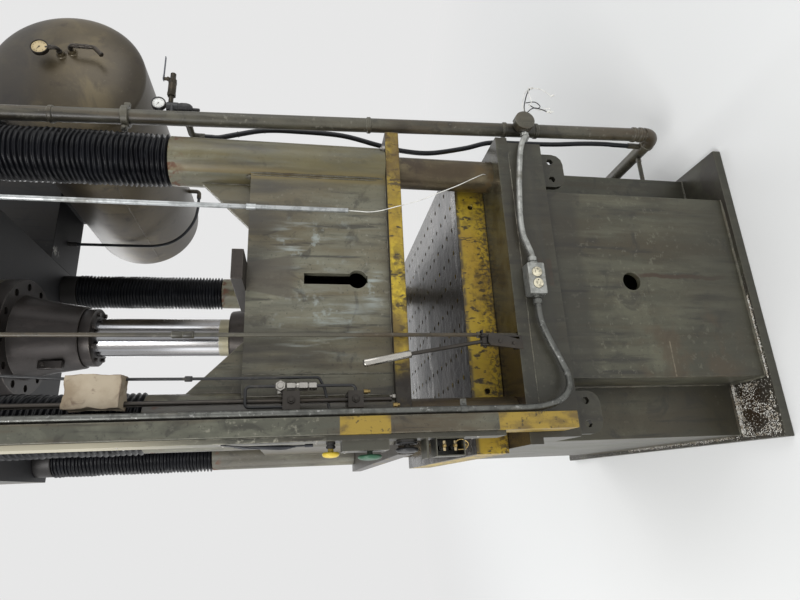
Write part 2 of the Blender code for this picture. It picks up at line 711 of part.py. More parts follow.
def bed():
    """The bed plate with the aprons and lugs that are welded under it."""
    body = box("bed", (-BED_HALF_WIDTH, -BED_HALF_DEPTH, BED_BOTTOM), (BED_HALF_WIDTH, BED_HALF_DEPTH, BED_TOP),
               "frame_paint")
    outer, inner_y = PEDESTAL_HALF_WIDTH, PEDESTAL_HALF_DEPTH + SEAT_GAP
    apron_low = BED_BOTTOM - SEAT_GAP - APRON_HEIGHT
    aprons = boxes("aprons", [((-outer, -BED_HALF_DEPTH, apron_low), (outer, -inner_y, BED_BOTTOM + WELD)),
                              ((-outer, inner_y, apron_low), (outer, BED_HALF_DEPTH, BED_BOTTOM + WELD))], None)
    inside = boxes("apron_inside", [
        ((-outer + APRON_WALL, -BED_HALF_DEPTH + APRON_WALL, apron_low - AIR_GAP),
         (outer - APRON_WALL, -inner_y + AIR_GAP, BED_BOTTOM)),
        ((-outer + APRON_WALL, inner_y - AIR_GAP, apron_low - AIR_GAP),
         (outer - APRON_WALL, BED_HALF_DEPTH - APRON_WALL, BED_BOTTOM))], None)
    cut(body, aprons, "UNION")
    cut(body, inside)
    cut(body, column_holes("bed_column_holes", COLUMN_RADIUS + SEAT_GAP, BED_BOTTOM, BED_TOP))
    cut(body, rods("bed_rod_hole", [((ROD_X, ROD_Y, BED_TOP), ROD_RADIUS + ROD_HOLE_CLEARANCE,
                                     4 * BED_THICKNESS, "Z",
                                     COARSE_ROUND)], None))
    lug_top = COLUMN_BOTTOM - AIR_GAP
    lug_right = outer - APRON_WALL + WELD
    lug_left = lug_right - LUG_WIDTH
    lug_low = lug_top - LUG_HEIGHT
    middle = (lug_left + lug_right) / 2
    outline = [(lug_left, lug_top), *arc((lug_left + LUG_CORNER, lug_low + LUG_CORNER), LUG_CORNER, 180, 270,
                                         3),
               *arc((lug_right - LUG_CORNER, lug_low + LUG_CORNER), LUG_CORNER, 270, 360, 3),
               (lug_right, lug_top)]
    lug_y = -BED_HALF_DEPTH + LUG_SETBACK + LUG_THICKNESS / 2
    cut(body, quarters(to_mesh(plate("lugs", outline, LUG_THICKNESS, None, (0.0, lug_y, 0.0)))), "UNION")
    holes = rods("lug_holes", [((middle + side * LUG_HOLE_SPACING / 2, lug_y, lug_low + LUG_HOLE_HEIGHT),
                                LUG_HOLE_RADIUS, 2 * LUG_THICKNESS, "Y", HOLE_ROUND) for side in (-1, 1)], None)
    cut(body, quarters(holes))


def column_holes(name, radius, low, high):
    """Four cutters through a plate, where the columns pass."""
    middle, length = (low + high) / 2, (high - low) + 4 * AIR_GAP
    return rods(name, [((sx * COLUMN_X, sy * COLUMN_Y, middle), radius, length, "Z", ROUND)
                       for sx in (-1, 1) for sy in (-1, 1)], None)


def bolster():
    body = box("bolster", (-BOLSTER_HALF_WIDTH, -BOLSTER_HALF_DEPTH, BOLSTER_BOTTOM),
               (BOLSTER_HALF_WIDTH, BOLSTER_HALF_DEPTH, BOLSTER_TOP), "yellow_paint")
    xs = [(i - (BOLSTER_HOLE_COLUMNS - 1) / 2) * BOLSTER_HOLE_PITCH_X for i in range(BOLSTER_HOLE_COLUMNS)]
    ys = [(i - (BOLSTER_HOLE_ROWS - 1) / 2) * BOLSTER_HOLE_PITCH_Y for i in range(BOLSTER_HOLE_ROWS)]
    rows = [((x, y, BOLSTER_TOP), BOLSTER_HOLE_RADIUS, 2 * BOLSTER_HOLE_DEPTH, "Z",
             HOLE_ROUND) for x in xs for y in ys]
    cut(body, rods("bolster_holes", rows, None))
    middle = (BOLSTER_BOTTOM + BOLSTER_TOP) / 2
    lifting = [((sx * LIFTING_HOLE_X, sy * BOLSTER_HALF_DEPTH, middle), LIFTING_HOLE_RADIUS,
                2 * BOLSTER_HOLE_DEPTH,
                "Y", COARSE_ROUND) for sx in (-1, 1) for sy in (-1, 1)]
    cut(body, rods("lifting_holes", lifting, None))


def columns():
    """Each column with its two nuts and the collar under the crown, which are screwed on it."""
    middle, length = (COLUMN_BOTTOM + COLUMN_TOP) / 2, COLUMN_TOP - COLUMN_BOTTOM
    nut_low = BED_BOTTOM - SEAT_GAP - LOWER_NUT_HEIGHT
    for x_name, sx in (("left", -1), ("right", 1)):
        for y_name, sy in (("front", -1), ("rear", 1)):
            x, y = sx * COLUMN_X, sy * COLUMN_Y
            name = "column_%s_%s" % (y_name, x_name)
            column = rods(name, [((x, y, middle), COLUMN_RADIUS, length, "Z", ROUND)], "column_steel")
            on_it = ((nut_low, LOWER_NUT_HEIGHT, NUT_RADIUS, 6),
                     (CROWN_TOP + SEAT_GAP, UPPER_NUT_HEIGHT, NUT_RADIUS, 6),
                     (CROWN_BOTTOM - SEAT_GAP - COLLAR_HEIGHT, COLLAR_HEIGHT, COLLAR_RADIUS, ROUND))
            for low, height, radius, sides in on_it:
                cut(column, rods(name + "_ring", [((x, y, low + height / 2), radius, height, "Z", sides)],
                                 None),
                    "UNION")


def crown():
    """A plain block, with the ring on its underside that the cylinder's flange meets."""
    body = box("crown", (-CROWN_HALF_WIDTH, -CROWN_HALF_DEPTH, CROWN_BOTTOM),
               (CROWN_HALF_WIDTH, CROWN_HALF_DEPTH, CROWN_TOP), "frame_paint")
    ring_low, ring_high = FLANGE_TOP + SEAT_GAP, CROWN_BOTTOM + WELD
    ring = rods("crown_ring", [((0.0, 0.0, (ring_low + ring_high) / 2), FLANGE_RADIUS, ring_high - ring_low,
                                "Z",
                                FINE_ROUND)], None)
    cut(body, ring, "UNION")
    cut(body, column_holes("crown_column_holes", COLUMN_RADIUS + SEAT_GAP, CROWN_BOTTOM, CROWN_TOP))
    bore_length = CROWN_HEIGHT + 4 * RING_HEIGHT
    cut(body, rods("crown_bore", [((0.0, 0.0, (CROWN_BOTTOM + CROWN_TOP) / 2), CYLINDER_BODY_RADIUS + SEAT_GAP,
                                   bore_length, "Z", FINE_ROUND)], None))


def main_cylinder():
    """The cylinder with its flange, the bolts in their counterbores and the bleed block."""
    inner_top = CYLINDER_TOP - CYLINDER_CAP_WALL
    neck = RAM_RADIUS + RUNNING_GAP
    waist = 0.4 * BARREL_TOP_RADIUS + 0.6 * BARREL_END_RADIUS
    profile = [(0.0, CYLINDER_TOP), (CYLINDER_BODY_RADIUS, CYLINDER_TOP), (CYLINDER_BODY_RADIUS, FLANGE_TOP),
               (FLANGE_RADIUS, FLANGE_TOP), (FLANGE_RADIUS, FLANGE_BOTTOM), (BARREL_TOP_RADIUS, FLANGE_BOTTOM),
               (waist, FLANGE_BOTTOM - 0.5 * BARREL_LENGTH), (BARREL_END_RADIUS, BARREL_BOTTOM),
               (neck, BARREL_BOTTOM),
               (neck, BARREL_BOTTOM + CYLINDER_END_WALL), (CYLINDER_BORE_RADIUS,
                                                           BARREL_BOTTOM + CYLINDER_END_WALL),
               (CYLINDER_BORE_RADIUS, inner_top), (0.0, inner_top)]
    body = turned("main_cylinder", [profile], "dark_casting", sides=FINE_ROUND)
    places = []
    for i in range(CYLINDER_BOLT_COUNT):
        angle = math.radians((i + 0.5) * 360.0 / CYLINDER_BOLT_COUNT)
        places.append((CYLINDER_BOLT_CIRCLE * math.cos(angle), CYLINDER_BOLT_CIRCLE * math.sin(angle)))
    cut(body, rods("counterbores", [((x, y, FLANGE_BOTTOM), COUNTERBORE_RADIUS, 2 * COUNTERBORE_DEPTH, "Z", 8)
                                    for x, y in places], None))
    head_high = FLANGE_BOTTOM + COUNTERBORE_DEPTH + WELD
    head_low = FLANGE_BOTTOM + COUNTERBORE_DEPTH - BOLT_HEAD_HEIGHT
    heads = rods("bolt_heads", [((x, y, (head_low + head_high) / 2), CYLINDER_BOLT_RADIUS, head_high - head_low,
                                 "Z", 8)
                                for x, y in places], None)
    cut(body, heads, "UNION")
    width, depth, height = BLEED_BLOCK
    x, y = BLEED_BLOCK_PLACE
    z = BARREL_BOTTOM + BLEED_BLOCK_RISE
    block = box("bleed_block", (x - width / 2, y - depth / 2, z - height / 2), (x + width / 2, y + depth / 2,
                z + height / 2), None)
    cut(body, block, "UNION")
    gland_top = BARREL_BOTTOM - SEAT_GAP
    turned("cylinder_gland", [ring_profile(neck, GLAND_RADIUS, gland_top - GLAND_HEIGHT, gland_top)],
           "dark_casting",
           sides=FINE_ROUND)


def slide():
    """All that the ram carries: the platen, the box with its keyhole, sleeves, gussets and stop bar."""
    carriage = axis_empty("slide_axis", (0.0, 0.0, PLATEN_BOTTOM))
    platen = box("platen", (-PLATEN_HALF_WIDTH, -PLATEN_HALF_DEPTH, PLATEN_BOTTOM),
                 (PLATEN_HALF_WIDTH, PLATEN_HALF_DEPTH, PLATEN_TOP), "yellow_paint")
    cut(platen, column_holes("platen_column_holes", COLUMN_RADIUS + RUNNING_GAP, PLATEN_BOTTOM, PLATEN_TOP))
    body = box("slide_box", (-SLIDE_HALF_WIDTH, -SLIDE_HALF_DEPTH, SLIDE_BOTTOM),
               (SLIDE_HALF_WIDTH, SLIDE_HALF_DEPTH, SLIDE_TOP), "slide_paint")
    wall, half_rib = SLIDE_WALL, SLIDE_WALL / 2
    x_bays = [(-SLIDE_HALF_WIDTH + wall, -SLIDE_RIB_X - half_rib),
              (-SLIDE_RIB_X + half_rib, SLIDE_RIB_X - half_rib),
              (SLIDE_RIB_X + half_rib, SLIDE_HALF_WIDTH - wall)]
    y_bays = [(-SLIDE_HALF_DEPTH + wall, -half_rib), (half_rib, SLIDE_HALF_DEPTH - wall)]
    pockets = boxes("slide_pockets", [((x0, y0, SLIDE_BOTTOM - AIR_GAP), (x1, y1, SLIDE_TOP - wall))
                                      for x0, x1 in x_bays for y0, y1 in y_bays], None)
    cut(body, pockets)
    reach = COLUMN_X - SLEEVE_RADIUS + WELD
    foot = SLIDE_TOP - WELD
    gusset = to_mesh(plate("gussets", [(reach, foot), (reach, foot + GUSSET_SIZE), (reach - GUSSET_SIZE, foot)],
                           GUSSET_THICKNESS, None, (0.0, COLUMN_Y, 0.0)))
    cut(body, quarters(gusset), "UNION")
    cut(body, column_holes("sleeve_seats", SLEEVE_RADIUS + SEAT_GAP, SLIDE_BOTTOM, SLIDE_TOP + 2 * GUSSET_SIZE))
    # The keyhole in the front plate: a slot, a round hole at its foot and a notch below that
    front = (-SLIDE_HALF_DEPTH - wall, -SLIDE_HALF_DEPTH + 2 * wall)
    centre = SLIDE_TOP - KEYHOLE_CENTRE_DROP
    slot = box("keyhole_slot", (-KEYHOLE_WIDTH / 2, front[0], centre), (KEYHOLE_WIDTH / 2, front[1],
               SLIDE_TOP - KEYHOLE_TOP_DROP), None)
    eye = rods("keyhole_eye", [((0.0, sum(front) / 2, centre), KEYHOLE_RADIUS, front[1] - front[0] + AIR_GAP,
                                "Y",
                                ROUND)], None)
    notch = box("keyhole_notch", (-KEYHOLE_NOTCH_WIDTH / 2, front[0] + AIR_GAP / 2,
                                  SLIDE_TOP - KEYHOLE_NOTCH_DROP),
                (KEYHOLE_NOTCH_WIDTH / 2, front[1] - AIR_GAP / 2, centre), None)
    for cutter in (slot, eye, notch):
        cut(body, cutter)
    pieces = [platen, body]
    for name, x, y in corners_of_press():
        pieces.append(turned("guide_sleeve_" + name, [ring_profile(COLUMN_RADIUS + RUNNING_GAP, SLEEVE_RADIUS,
                                                                   SLIDE_BOTTOM, SLEEVE_TOP)], "slide_paint",
                             (x, y, 0.0)))
    seat = SLIDE_TOP + SEAT_GAP
    bar_front = -SLIDE_HALF_DEPTH - STOP_BAR_OVERHANG
    pieces.append(box("stop_bar", (STOP_BAR_X - STOP_BAR_WIDTH / 2, bar_front, seat),
                      (STOP_BAR_X + STOP_BAR_WIDTH / 2, bar_front + STOP_BAR_LENGTH, seat + STOP_BAR_THICKNESS),
                      "slide_paint"))
    pieces.append(turned("ram_flange", [bar_profile(RAM_FLANGE_RADIUS, RAM_FLANGE_BOTTOM,
                                                    RAM_FLANGE_BOTTOM + RAM_FLANGE_HEIGHT)], "dark_casting"))
    pieces.append(turned("ram", [bar_profile(RAM_RADIUS, RAM_BOTTOM, RAM_TOP)], "chrome", sides=FINE_ROUND))
    piston_low = RAM_TOP + SEAT_GAP
    pieces.append(turned("piston", [bar_profile(CYLINDER_BORE_RADIUS - RUNNING_GAP, piston_low,
                                                piston_low + PISTON_HEIGHT)], "bolt_steel", sides=FINE_ROUND))
    carry(carriage, *pieces)


def bellows():
    """A folded tube round each column, from the sleeve's top to the collar under the crown."""
    low = SLEEVE_TOP + SEAT_GAP
    high = CROWN_BOTTOM - SEAT_GAP - COLLAR_HEIGHT - SEAT_GAP
    pitch = (high - low) / BELLOWS_FOLDS
    outside = [(BELLOWS_ROOT_RADIUS, high)]
    for i in range(BELLOWS_FOLDS):
        top = high - i * pitch
        outside.append((BELLOWS_RADIUS, top - pitch / 2))
        outside.append((BELLOWS_ROOT_RADIUS, top - pitch))
    profile = [(BELLOWS_BORE_RADIUS, high), *outside, (BELLOWS_BORE_RADIUS, low)]
    for name, x, y in corners_of_press():
        turned("bellows_" + name, [profile], "black_rubber", (x, y, 0.0), sides=BELLOWS_SIDES)


def tank():
    """The air tank, a closed vessel with dished ends and welded bosses, its axis front to back."""
    back = TANK_FRONT_Y + TANK_LENGTH
    angles = [math.radians(90.0 * i / TANK_DISH_STEPS) for i in range(TANK_DISH_STEPS + 1)]
    rear = [(TANK_RADIUS * math.sin(a), back + TANK_DISH * math.cos(a)) for a in angles]
    front = [(TANK_RADIUS * math.cos(a), TANK_FRONT_Y - TANK_DISH * math.sin(a)) for a in angles]
    rear[0] = (0.0, rear[0][1])
    front[-1] = (0.0, front[-1][1])
    vessel = turned("air_tank", [rear + front], "tank_steel", (TANK_X, 0.0, TANK_AXIS_Z), sides=FINE_ROUND,
                    axis="Y")
    places = [(TANK_X + x, TANK_AXIS_Z + z, boss_face(x, z)) for x, z in (TANK_GAUGE_OFFSET, TANK_COCK_OFFSET)]
    bosses = rods("tank_bosses", [((x, (face + TANK_FRONT_Y) / 2, z), BOSS_RADIUS, TANK_FRONT_Y - face, "Y",
                                   COARSE_ROUND) for x, z, face in places], None)
    cut(vessel, bosses, "UNION")
    hose = under_crown(TANK_HOSE_ROUTE)
    x, y, z = hose[-1]
    elbow = bent_route([(x + HOSE_FITTING_LENGTH, y, TANK_AXIS_Z - 0.5 * TANK_RADIUS),
                        (x + HOSE_FITTING_LENGTH, y, z),
                        (x, y, z)], ELBOW_RADIUS, 3)
    cut(vessel, to_mesh(tube("tank_hose_elbow", elbow, HOSE_FITTING_RADIUS, None)), "UNION")
    front_beam, rear_beam = [outrigger(name, place, width) for name, place, width in
                             zip(("outrigger_front", "outrigger_rear"), OUTRIGGER_Y, OUTRIGGER_WIDTHS)]
    x, y, z = hose[0]
    stub = [(x, y, z + 2 * HOSE_FITTING_LENGTH), (x, y, z)]
    cut(rear_beam, to_mesh(tube("outrigger_fitting", stub, HOSE_FITTING_RADIUS, None)), "UNION")
    tank_fittings()


def outrigger(name, place, width):
    """A beam on the crown's side with a saddle block that is cut to the tank's round."""
    left = CROWN_HALF_WIDTH + SEAT_GAP
    low = CROWN_BOTTOM
    half = width / 2
    beam = box(name, (left, place - half, low), (left + OUTRIGGER_LENGTH, place + half, low + OUTRIGGER_HEIGHT),
               "frame_paint")
    saddle_low = TANK_AXIS_Z + math.sqrt(TANK_RADIUS ** 2 - SADDLE_HALF_WIDTH ** 2)
    saddle_half = half - SADDLE_INSET
    saddle = box("saddle", (TANK_X - SADDLE_HALF_WIDTH, place - saddle_half, saddle_low),
                 (TANK_X + SADDLE_HALF_WIDTH, place + saddle_half, low + WELD), None)
    cut(beam, saddle, "UNION")
    round_cut = turned("saddle_round", [bar_profile(TANK_RADIUS + SEAT_GAP, place - width, place + width)],
                       None,
                       (TANK_X, 0.0, TANK_AXIS_Z), sides=FINE_ROUND, axis="Y")
    return cut(beam, round_cut)


def boss_face(x, z):
    """The Y of the end of a boss on the tank's front head, at a point given from the tank's axis."""
    share = math.hypot(x, z) / TANK_RADIUS
    return TANK_FRONT_Y - TANK_DISH * math.sqrt(max(0.0, 1.0 - share * share)) - BOSS_HEIGHT


def tank_fittings():
    x, z = TANK_X + TANK_GAUGE_OFFSET[0], TANK_AXIS_Z + TANK_GAUGE_OFFSET[1]
    back = boss_face(*TANK_GAUGE_OFFSET) - SEAT_GAP
    out = back - TANK_GAUGE_REACH
    case_x, case_z = x + TANK_GAUGE_SHIFT[0], z + TANK_GAUGE_SHIFT[1]
    case = turned("tank_gauge", [bar_profile(TANK_GAUGE_RADIUS, out - TANK_GAUGE_DEPTH / 2,
                                             out + TANK_GAUGE_DEPTH / 2)],
                  "ivory_plastic", (case_x, 0.0, case_z), sides=16, axis="Y")
    stem = bent_route([(x, back, z), (x, out, z), (case_x, out, case_z)], ELBOW_RADIUS, 3)
    cut(case, to_mesh(tube("tank_gauge_stem", stem, TANK_GAUGE_STEM, None)), "UNION")
    x, z = TANK_X + TANK_COCK_OFFSET[0], TANK_AXIS_Z + TANK_COCK_OFFSET[1]
    start = boss_face(*TANK_COCK_OFFSET) - SEAT_GAP
    out = start - TANK_COCK_REACH
    drop, side = TANK_COCK_DROP
    tube("tank_cock", bent_route([(x, start, z), (x, out, z), (x, out, z - drop),
                                  (x - side, out, z - drop - side)],
                                 ELBOW_RADIUS, 3), FITTING_RADIUS, "bolt_steel")


def pipe_axis_x(z):
    """The leaning pipe's middle at a height."""
    (top_x, top_z), (foot_x, foot_z) = PIPE_TOP, PIPE_FOOT
    return foot_x + (top_x - foot_x) * (z - foot_z) / (top_z - foot_z)


def air_pipe():
    """The air pipe with its clamp and hose tee, and the junction body on its front."""
    foot_x = pipe_axis_x(PIPE_FOOT_Z)
    corners = [(PIPE_TOP[0], PIPE_Y, PIPE_TOP[1]), (foot_x, PIPE_Y, PIPE_FOOT_Z),
               (foot_x, PIPE_RETURN_Y, PIPE_FOOT_Z),
               (PEDESTAL_HALF_WIDTH + SEAT_GAP, PIPE_RETURN_Y, PIPE_FOOT_Z)]
    pipe = to_mesh(tube("air_pipe", bent_route(corners, PIPE_ELBOW_RADIUS), PIPE_RADIUS, "pipe_paint",
                        resolution=4))
    cut(pipe, rods("pipe_clamp", [((pipe_axis_x(PIPE_CLAMP_HEIGHT), PIPE_Y, PIPE_CLAMP_HEIGHT),
                                   PIPE_CLAMP_RADIUS,
                                   PIPE_CLAMP_THICKNESS, "Z", 16)], None), "UNION")
    hose = in_front(HOSE_ROUTE)
    x, y, z = hose[0]
    top = z + HOSE_FITTING_LENGTH
    tee = bent_route([(x, PIPE_Y, top), (x, y, top), (x, y, z)], ELBOW_RADIUS, 3)
    cut(pipe, to_mesh(tube("hose_tee", tee, HOSE_FITTING_RADIUS, None)), "UNION")
    # On the return run, the hose's lower fitting and a thin branch to the pedestal's side
    y, z = hose[-1][1:]
    wall_x = PEDESTAL_HALF_WIDTH + SEAT_GAP
    lower = rods("hose_foot", [((foot_x, y, (PIPE_FOOT_Z + z) / 2), HOSE_FITTING_RADIUS, z - PIPE_FOOT_Z, "Z",
                                COARSE_ROUND),
                               (((foot_x + wall_x) / 2, BRANCH_Y, PIPE_FOOT_Z), BRANCH_RADIUS, foot_x - wall_x,
                                "X",
                                COARSE_ROUND)], None)
    cut(pipe, lower, "UNION")
    # The junction body is against the pipe's front, with its round cover towards the operator
    x = pipe_axis_x(JUNCTION_HEIGHT)
    back = PIPE_Y - PIPE_RADIUS - SEAT_GAP
    front = back - JUNCTION_DEPTH
    rods("junction_body", [((x, (back + front) / 2, JUNCTION_HEIGHT), JUNCTION_RADIUS, JUNCTION_DEPTH, "Y",
                            ROUND)],
         "pipe_paint")
    rods("junction_cover", [((x, front - SEAT_GAP - JUNCTION_COVER_DEPTH / 2, JUNCTION_HEIGHT),
                             JUNCTION_RADIUS + JUNCTION_COVER_LIP, JUNCTION_COVER_DEPTH, "Y", ROUND)], "zinc")


def regulator():
    """The regulator on a nipple from the pipe's side, with its gauge, and the ball valve beyond it."""
    x, y, low = REGULATOR_X, REGULATOR_Y, REGULATOR_BASE
    high, drain_end = low + REGULATOR_HEIGHT, low - REGULATOR_DRAIN_LENGTH
    profile = [(0.0, high), (REGULATOR_RADIUS, high), (REGULATOR_RADIUS, low + REGULATOR_TAPER),
               (0.6 * REGULATOR_RADIUS, low), (REGULATOR_DRAIN_RADIUS, low),
               (REGULATOR_DRAIN_RADIUS, drain_end),
               (0.0, drain_end)]
    body = turned("regulator", [profile], "black_plastic", (x, y, 0.0), sides=16)
    nipple_z, nipple_y = high - NIPPLE_DROP, (y + PIPE_Y) / 2
    near = nipple_y - NIPPLE_RADIUS - PIPE_Y
    # The pipe has twelve sides, with a corner towards the regulator
    start = pipe_axis_x(nipple_z) + PIPE_RADIUS + SEAT_GAP - near * math.tan(math.pi / 12)
    cut(body, rods("regulator_nipple", [(((start + x) / 2, nipple_y, nipple_z), NIPPLE_RADIUS, x - start, "X",
                                         8)],
                   None), "UNION")
    rods("line_gauge", [((x + GAUGE_OFFSET, y - GAUGE_DEPTH / 2, high + SEAT_GAP + GAUGE_RADIUS), GAUGE_RADIUS,
                         GAUGE_DEPTH, "Y", ROUND)], "zinc")
    valve_z = high - VALVE_DROP
    stem_top = valve_z + VALVE_STEM_RISE
    start = x + REGULATOR_RADIUS + SEAT_GAP
    end, neck = start + VALVE_LENGTH, start + VALVE_NECK_LENGTH
    valve_profile = [(0.0, end), (0.7 * VALVE_RADIUS, end), (0.7 * VALVE_RADIUS, end - VALVE_END_LENGTH),
                     (VALVE_RADIUS, end - VALVE_END_LENGTH), (VALVE_RADIUS, neck), (0.6 * VALVE_RADIUS, neck),
                     (0.6 * VALVE_RADIUS, start), (0.0, start)]
    valve = turned("ball_valve", [valve_profile], "bolt_steel", (0.0, y, valve_z), sides=COARSE_ROUND, axis="X")
    stem = rods("valve_stem", [((VALVE_STEM_X, y, (valve_z + stem_top) / 2), VALVE_STEM_RADIUS,
                                stem_top - valve_z, "Z",
                                10)], None)
    cut(valve, stem, "UNION")
    pivot = axis_empty("valve_axis", (VALVE_STEM_X, y, stem_top))
    handle_low = stem_top + SEAT_GAP
    handle = box("valve_lever", (VALVE_STEM_X - LEVER_WIDTH / 2, y - LEVER_WIDTH / 2, handle_low),
                 (VALVE_STEM_X + LEVER_LENGTH, y + LEVER_WIDTH / 2, handle_low + LEVER_THICKNESS), "pipe_paint")
    carry(pivot, handle)


def control_post():
    """The hollow post, and on its left side a raceway with the operator's boxes."""
    left, right = POST_LEFT, POST_LEFT + POST_WIDTH
    front, back = POST_BACK - POST_DEPTH, POST_BACK
    top = CROWN_BOTTOM + POST_RISE_ON_CROWN
    post = box("control_post", (left, front, POST_FOOT), (right, back, top), "frame_paint")
    wall = POST_WALL
    inside = box("post_inside", (left + wall, front + wall, POST_FOOT - AIR_GAP), (right - wall, back - wall,
                 top + AIR_GAP), None)
    cut(post, inside)
    race_right = left - SEAT_GAP
    race_left = race_right - RACEWAY_PROUD
    middle = back - RACEWAY_DEPTH / 2
    raceway = box("post_boxes", (race_left, back - RACEWAY_DEPTH, RACEWAY_FOOT), (race_right, back, top),
                  "frame_paint")
    stations = [(STATION_BOX, STATION_BOX_BASE), (SHELF, SHELF_HEIGHT), (CONTACT_BOX, CONTACT_BOX_BASE)]
    solids = boxes("station_solids", [((race_left - width, middle - length / 2, low),
                                       (race_left + WELD, middle + length / 2, low + height))
                                      for (width, length, height), low in stations], None)
    cut(raceway, solids, "UNION")
    width, length, height = CONTACT_BOX
    low, skin = CONTACT_BOX_BASE, CONTACT_WALL
    cut(raceway, box("contact_inside", (race_left - width + skin, middle - length, low + skin),
                     (race_left - skin, middle + length / 2 - skin, low + height - skin), None))
    contacts = rods("contacts", [((race_left - width / 2, middle + length / 2 - skin - CONTACT_REACH / 2 + WELD,
                                   low + height * share), CONTACT_RADIUS, CONTACT_REACH, "Y", 8)
                                 for share in (0.3, 0.7)], None)
    cut(raceway, contacts, "UNION")
    station_face = race_left - STATION_BOX[0]
    bore = turned("button_bore", [bar_profile(BUTTON_STEM_RADIUS + RUNNING_GAP, station_face - AIR_GAP,
                                              station_face + BUTTON_BORE_DEPTH)], None,
                  (0.0, middle, GREEN_BUTTON_HEIGHT), sides=COARSE_ROUND, axis="X")
    cut(raceway, bore)
    buttons(race_left - SEAT_GAP, middle)


def buttons(face, middle):
    """Two mushroom buttons that spring back, and a stop button that stays in."""
    push_button("green_button", face - STATION_BOX[0], middle, GREEN_BUTTON_HEIGHT, GREEN_BUTTON_RADIUS,
                "green_plastic")
    for name, height, radius, length in (("black_button_base", BLACK_BUTTON_HEIGHT, BLACK_BASE_RADIUS,
                                          BLACK_BASE_LENGTH),
                                         ("stop_button_base", STOP_BUTTON_HEIGHT, STOP_BASE_RADIUS,
                                          STOP_BASE_LENGTH)):
        turned(name, [ring_profile(BUTTON_STEM_RADIUS + RUNNING_GAP, radius, face - length, face)],
               "black_plastic",
               (0.0, middle, height), sides=COARSE_ROUND, axis="X")
    push_button("black_button", face - BLACK_BASE_LENGTH, middle, BLACK_BUTTON_HEIGHT, BLACK_BUTTON_RADIUS,
                "black_plastic")
    push_button("stop_button", face - STOP_BASE_LENGTH, middle, STOP_BUTTON_HEIGHT, STOP_HEAD_RADIUS,
                "yellow_plastic")


def push_button(name, face, middle, height, radius, material):
    """A mushroom button that travels to the right, towards the post, its stem in a bore."""
    axis = axis_empty(name + "_axis", (face, middle, height))
    cap = face - BUTTON_STEM_LENGTH
    end = face + BUTTON_STEM_DEPTH
    profile = [(0.0, end), (BUTTON_STEM_RADIUS, end), (BUTTON_STEM_RADIUS, cap), (0.9 * radius, cap),
               (radius, cap - 0.3 * BUTTON_CAP), (0.8 * radius, cap - 0.8 * BUTTON_CAP),
               (0.0, cap - BUTTON_CAP)]
    button = turned(name, [profile], material, (0.0, middle, height), sides=COARSE_ROUND, axis="X")
    carry(axis, button)


def left_conduit():
    """The conduit down the post's right side, with its strap, and on to the outlet box."""
    top = CROWN_BOTTOM + POST_RISE_ON_CROWN
    end = OUTLET_X - OUTLET_WIDTH / 2 - SEAT_GAP
    straight = [(CONDUIT_X, CONDUIT_Y, top), (CONDUIT_X, CONDUIT_Y, (top + STRAP_HEIGHT) / 2),
                (CONDUIT_X, CONDUIT_Y, STRAP_HEIGHT)]
    bend = [(CONDUIT_X, CONDUIT_Y, CONDUIT_BEND_TOP), *in_front(CONDUIT_BEND_ROUTE)]
    route = smooth_route([*bend, (end, bend[-1][1], bend[-1][2])], 0.03)
    conduit = to_mesh(tube("conduit_left", straight + route, CONDUIT_RADIUS, "zinc"))
    # The strap is tight round the conduit and against the post, with an ear that reaches right
    strap = rods("conduit_strap", [((CONDUIT_X, CONDUIT_Y, STRAP_HEIGHT), CONDUIT_RADIUS + STRAP_THICKNESS,
                                    STRAP_WIDTH,
                                    "Z", COARSE_ROUND)], None)
    ear = box("strap_ear", (CONDUIT_X, CONDUIT_Y - STRAP_THICKNESS, STRAP_HEIGHT - 0.4 * STRAP_WIDTH),
              (CONDUIT_X + STRAP_REACH, CONDUIT_Y + STRAP_THICKNESS, STRAP_HEIGHT + 0.4 * STRAP_WIDTH), None)
    cut(conduit, strap, "UNION")
    cut(conduit, ear, "UNION")


def outlet():
    """The outlet box on the apron, its duplex receptacle, and the conduit on to the junction body."""
    back = FRONT_FACE - SEAT_GAP
    front = back - OUTLET_DEPTH
    low, high = OUTLET_CENTRE - OUTLET_HEIGHT / 2, OUTLET_CENTRE + OUTLET_HEIGHT / 2
    box("outlet_box", (OUTLET_X - OUTLET_WIDTH / 2, front, low), (OUTLET_X + OUTLET_WIDTH / 2, back, high),
        "zinc")
    face = front - SEAT_GAP
    yoke = box("receptacle", (OUTLET_X - RECEPTACLE_SPACING / 2, face - RECEPTACLE_PROUD / 2,
                              OUTLET_CENTRE - RECEPTACLE_YOKE / 2),
               (OUTLET_X + RECEPTACLE_SPACING / 2, face, OUTLET_CENTRE + RECEPTACLE_YOKE / 2), "ivory_plastic")
    faces = rods("receptacle_faces", [((OUTLET_X + side * RECEPTACLE_SPACING / 2, face - RECEPTACLE_PROUD / 2,
                                        OUTLET_CENTRE), RECEPTACLE_RADIUS, RECEPTACLE_PROUD, "Y", 16)
                                      for side in (-1, 1)], None)
    cut(yoke, faces, "UNION")
    start = OUTLET_X + OUTLET_WIDTH / 2 + SEAT_GAP
    body_left = pipe_axis_x(JUNCTION_HEIGHT) - JUNCTION_RADIUS - SEAT_GAP
    body_y = PIPE_Y - PIPE_RADIUS - SEAT_GAP - JUNCTION_DEPTH / 2
    entry = [(body_left - reach, body_y, JUNCTION_HEIGHT) for reach in (CONDUIT_ENTRY, CONDUIT_ENTRY / 2, 0.0)]
    middle = in_front(RIGHT_CONDUIT_ROUTE)
    leave = [(start + reach, middle[0][1], OUTLET_CENTRE) for reach in (0.0, CONDUIT_ENTRY / 2,
                                                                                  CONDUIT_ENTRY)]
    route = [*leave, *middle, *entry]
    tube("conduit_right", smooth_route(route, 0.03), CONDUIT_RADIUS, "zinc")


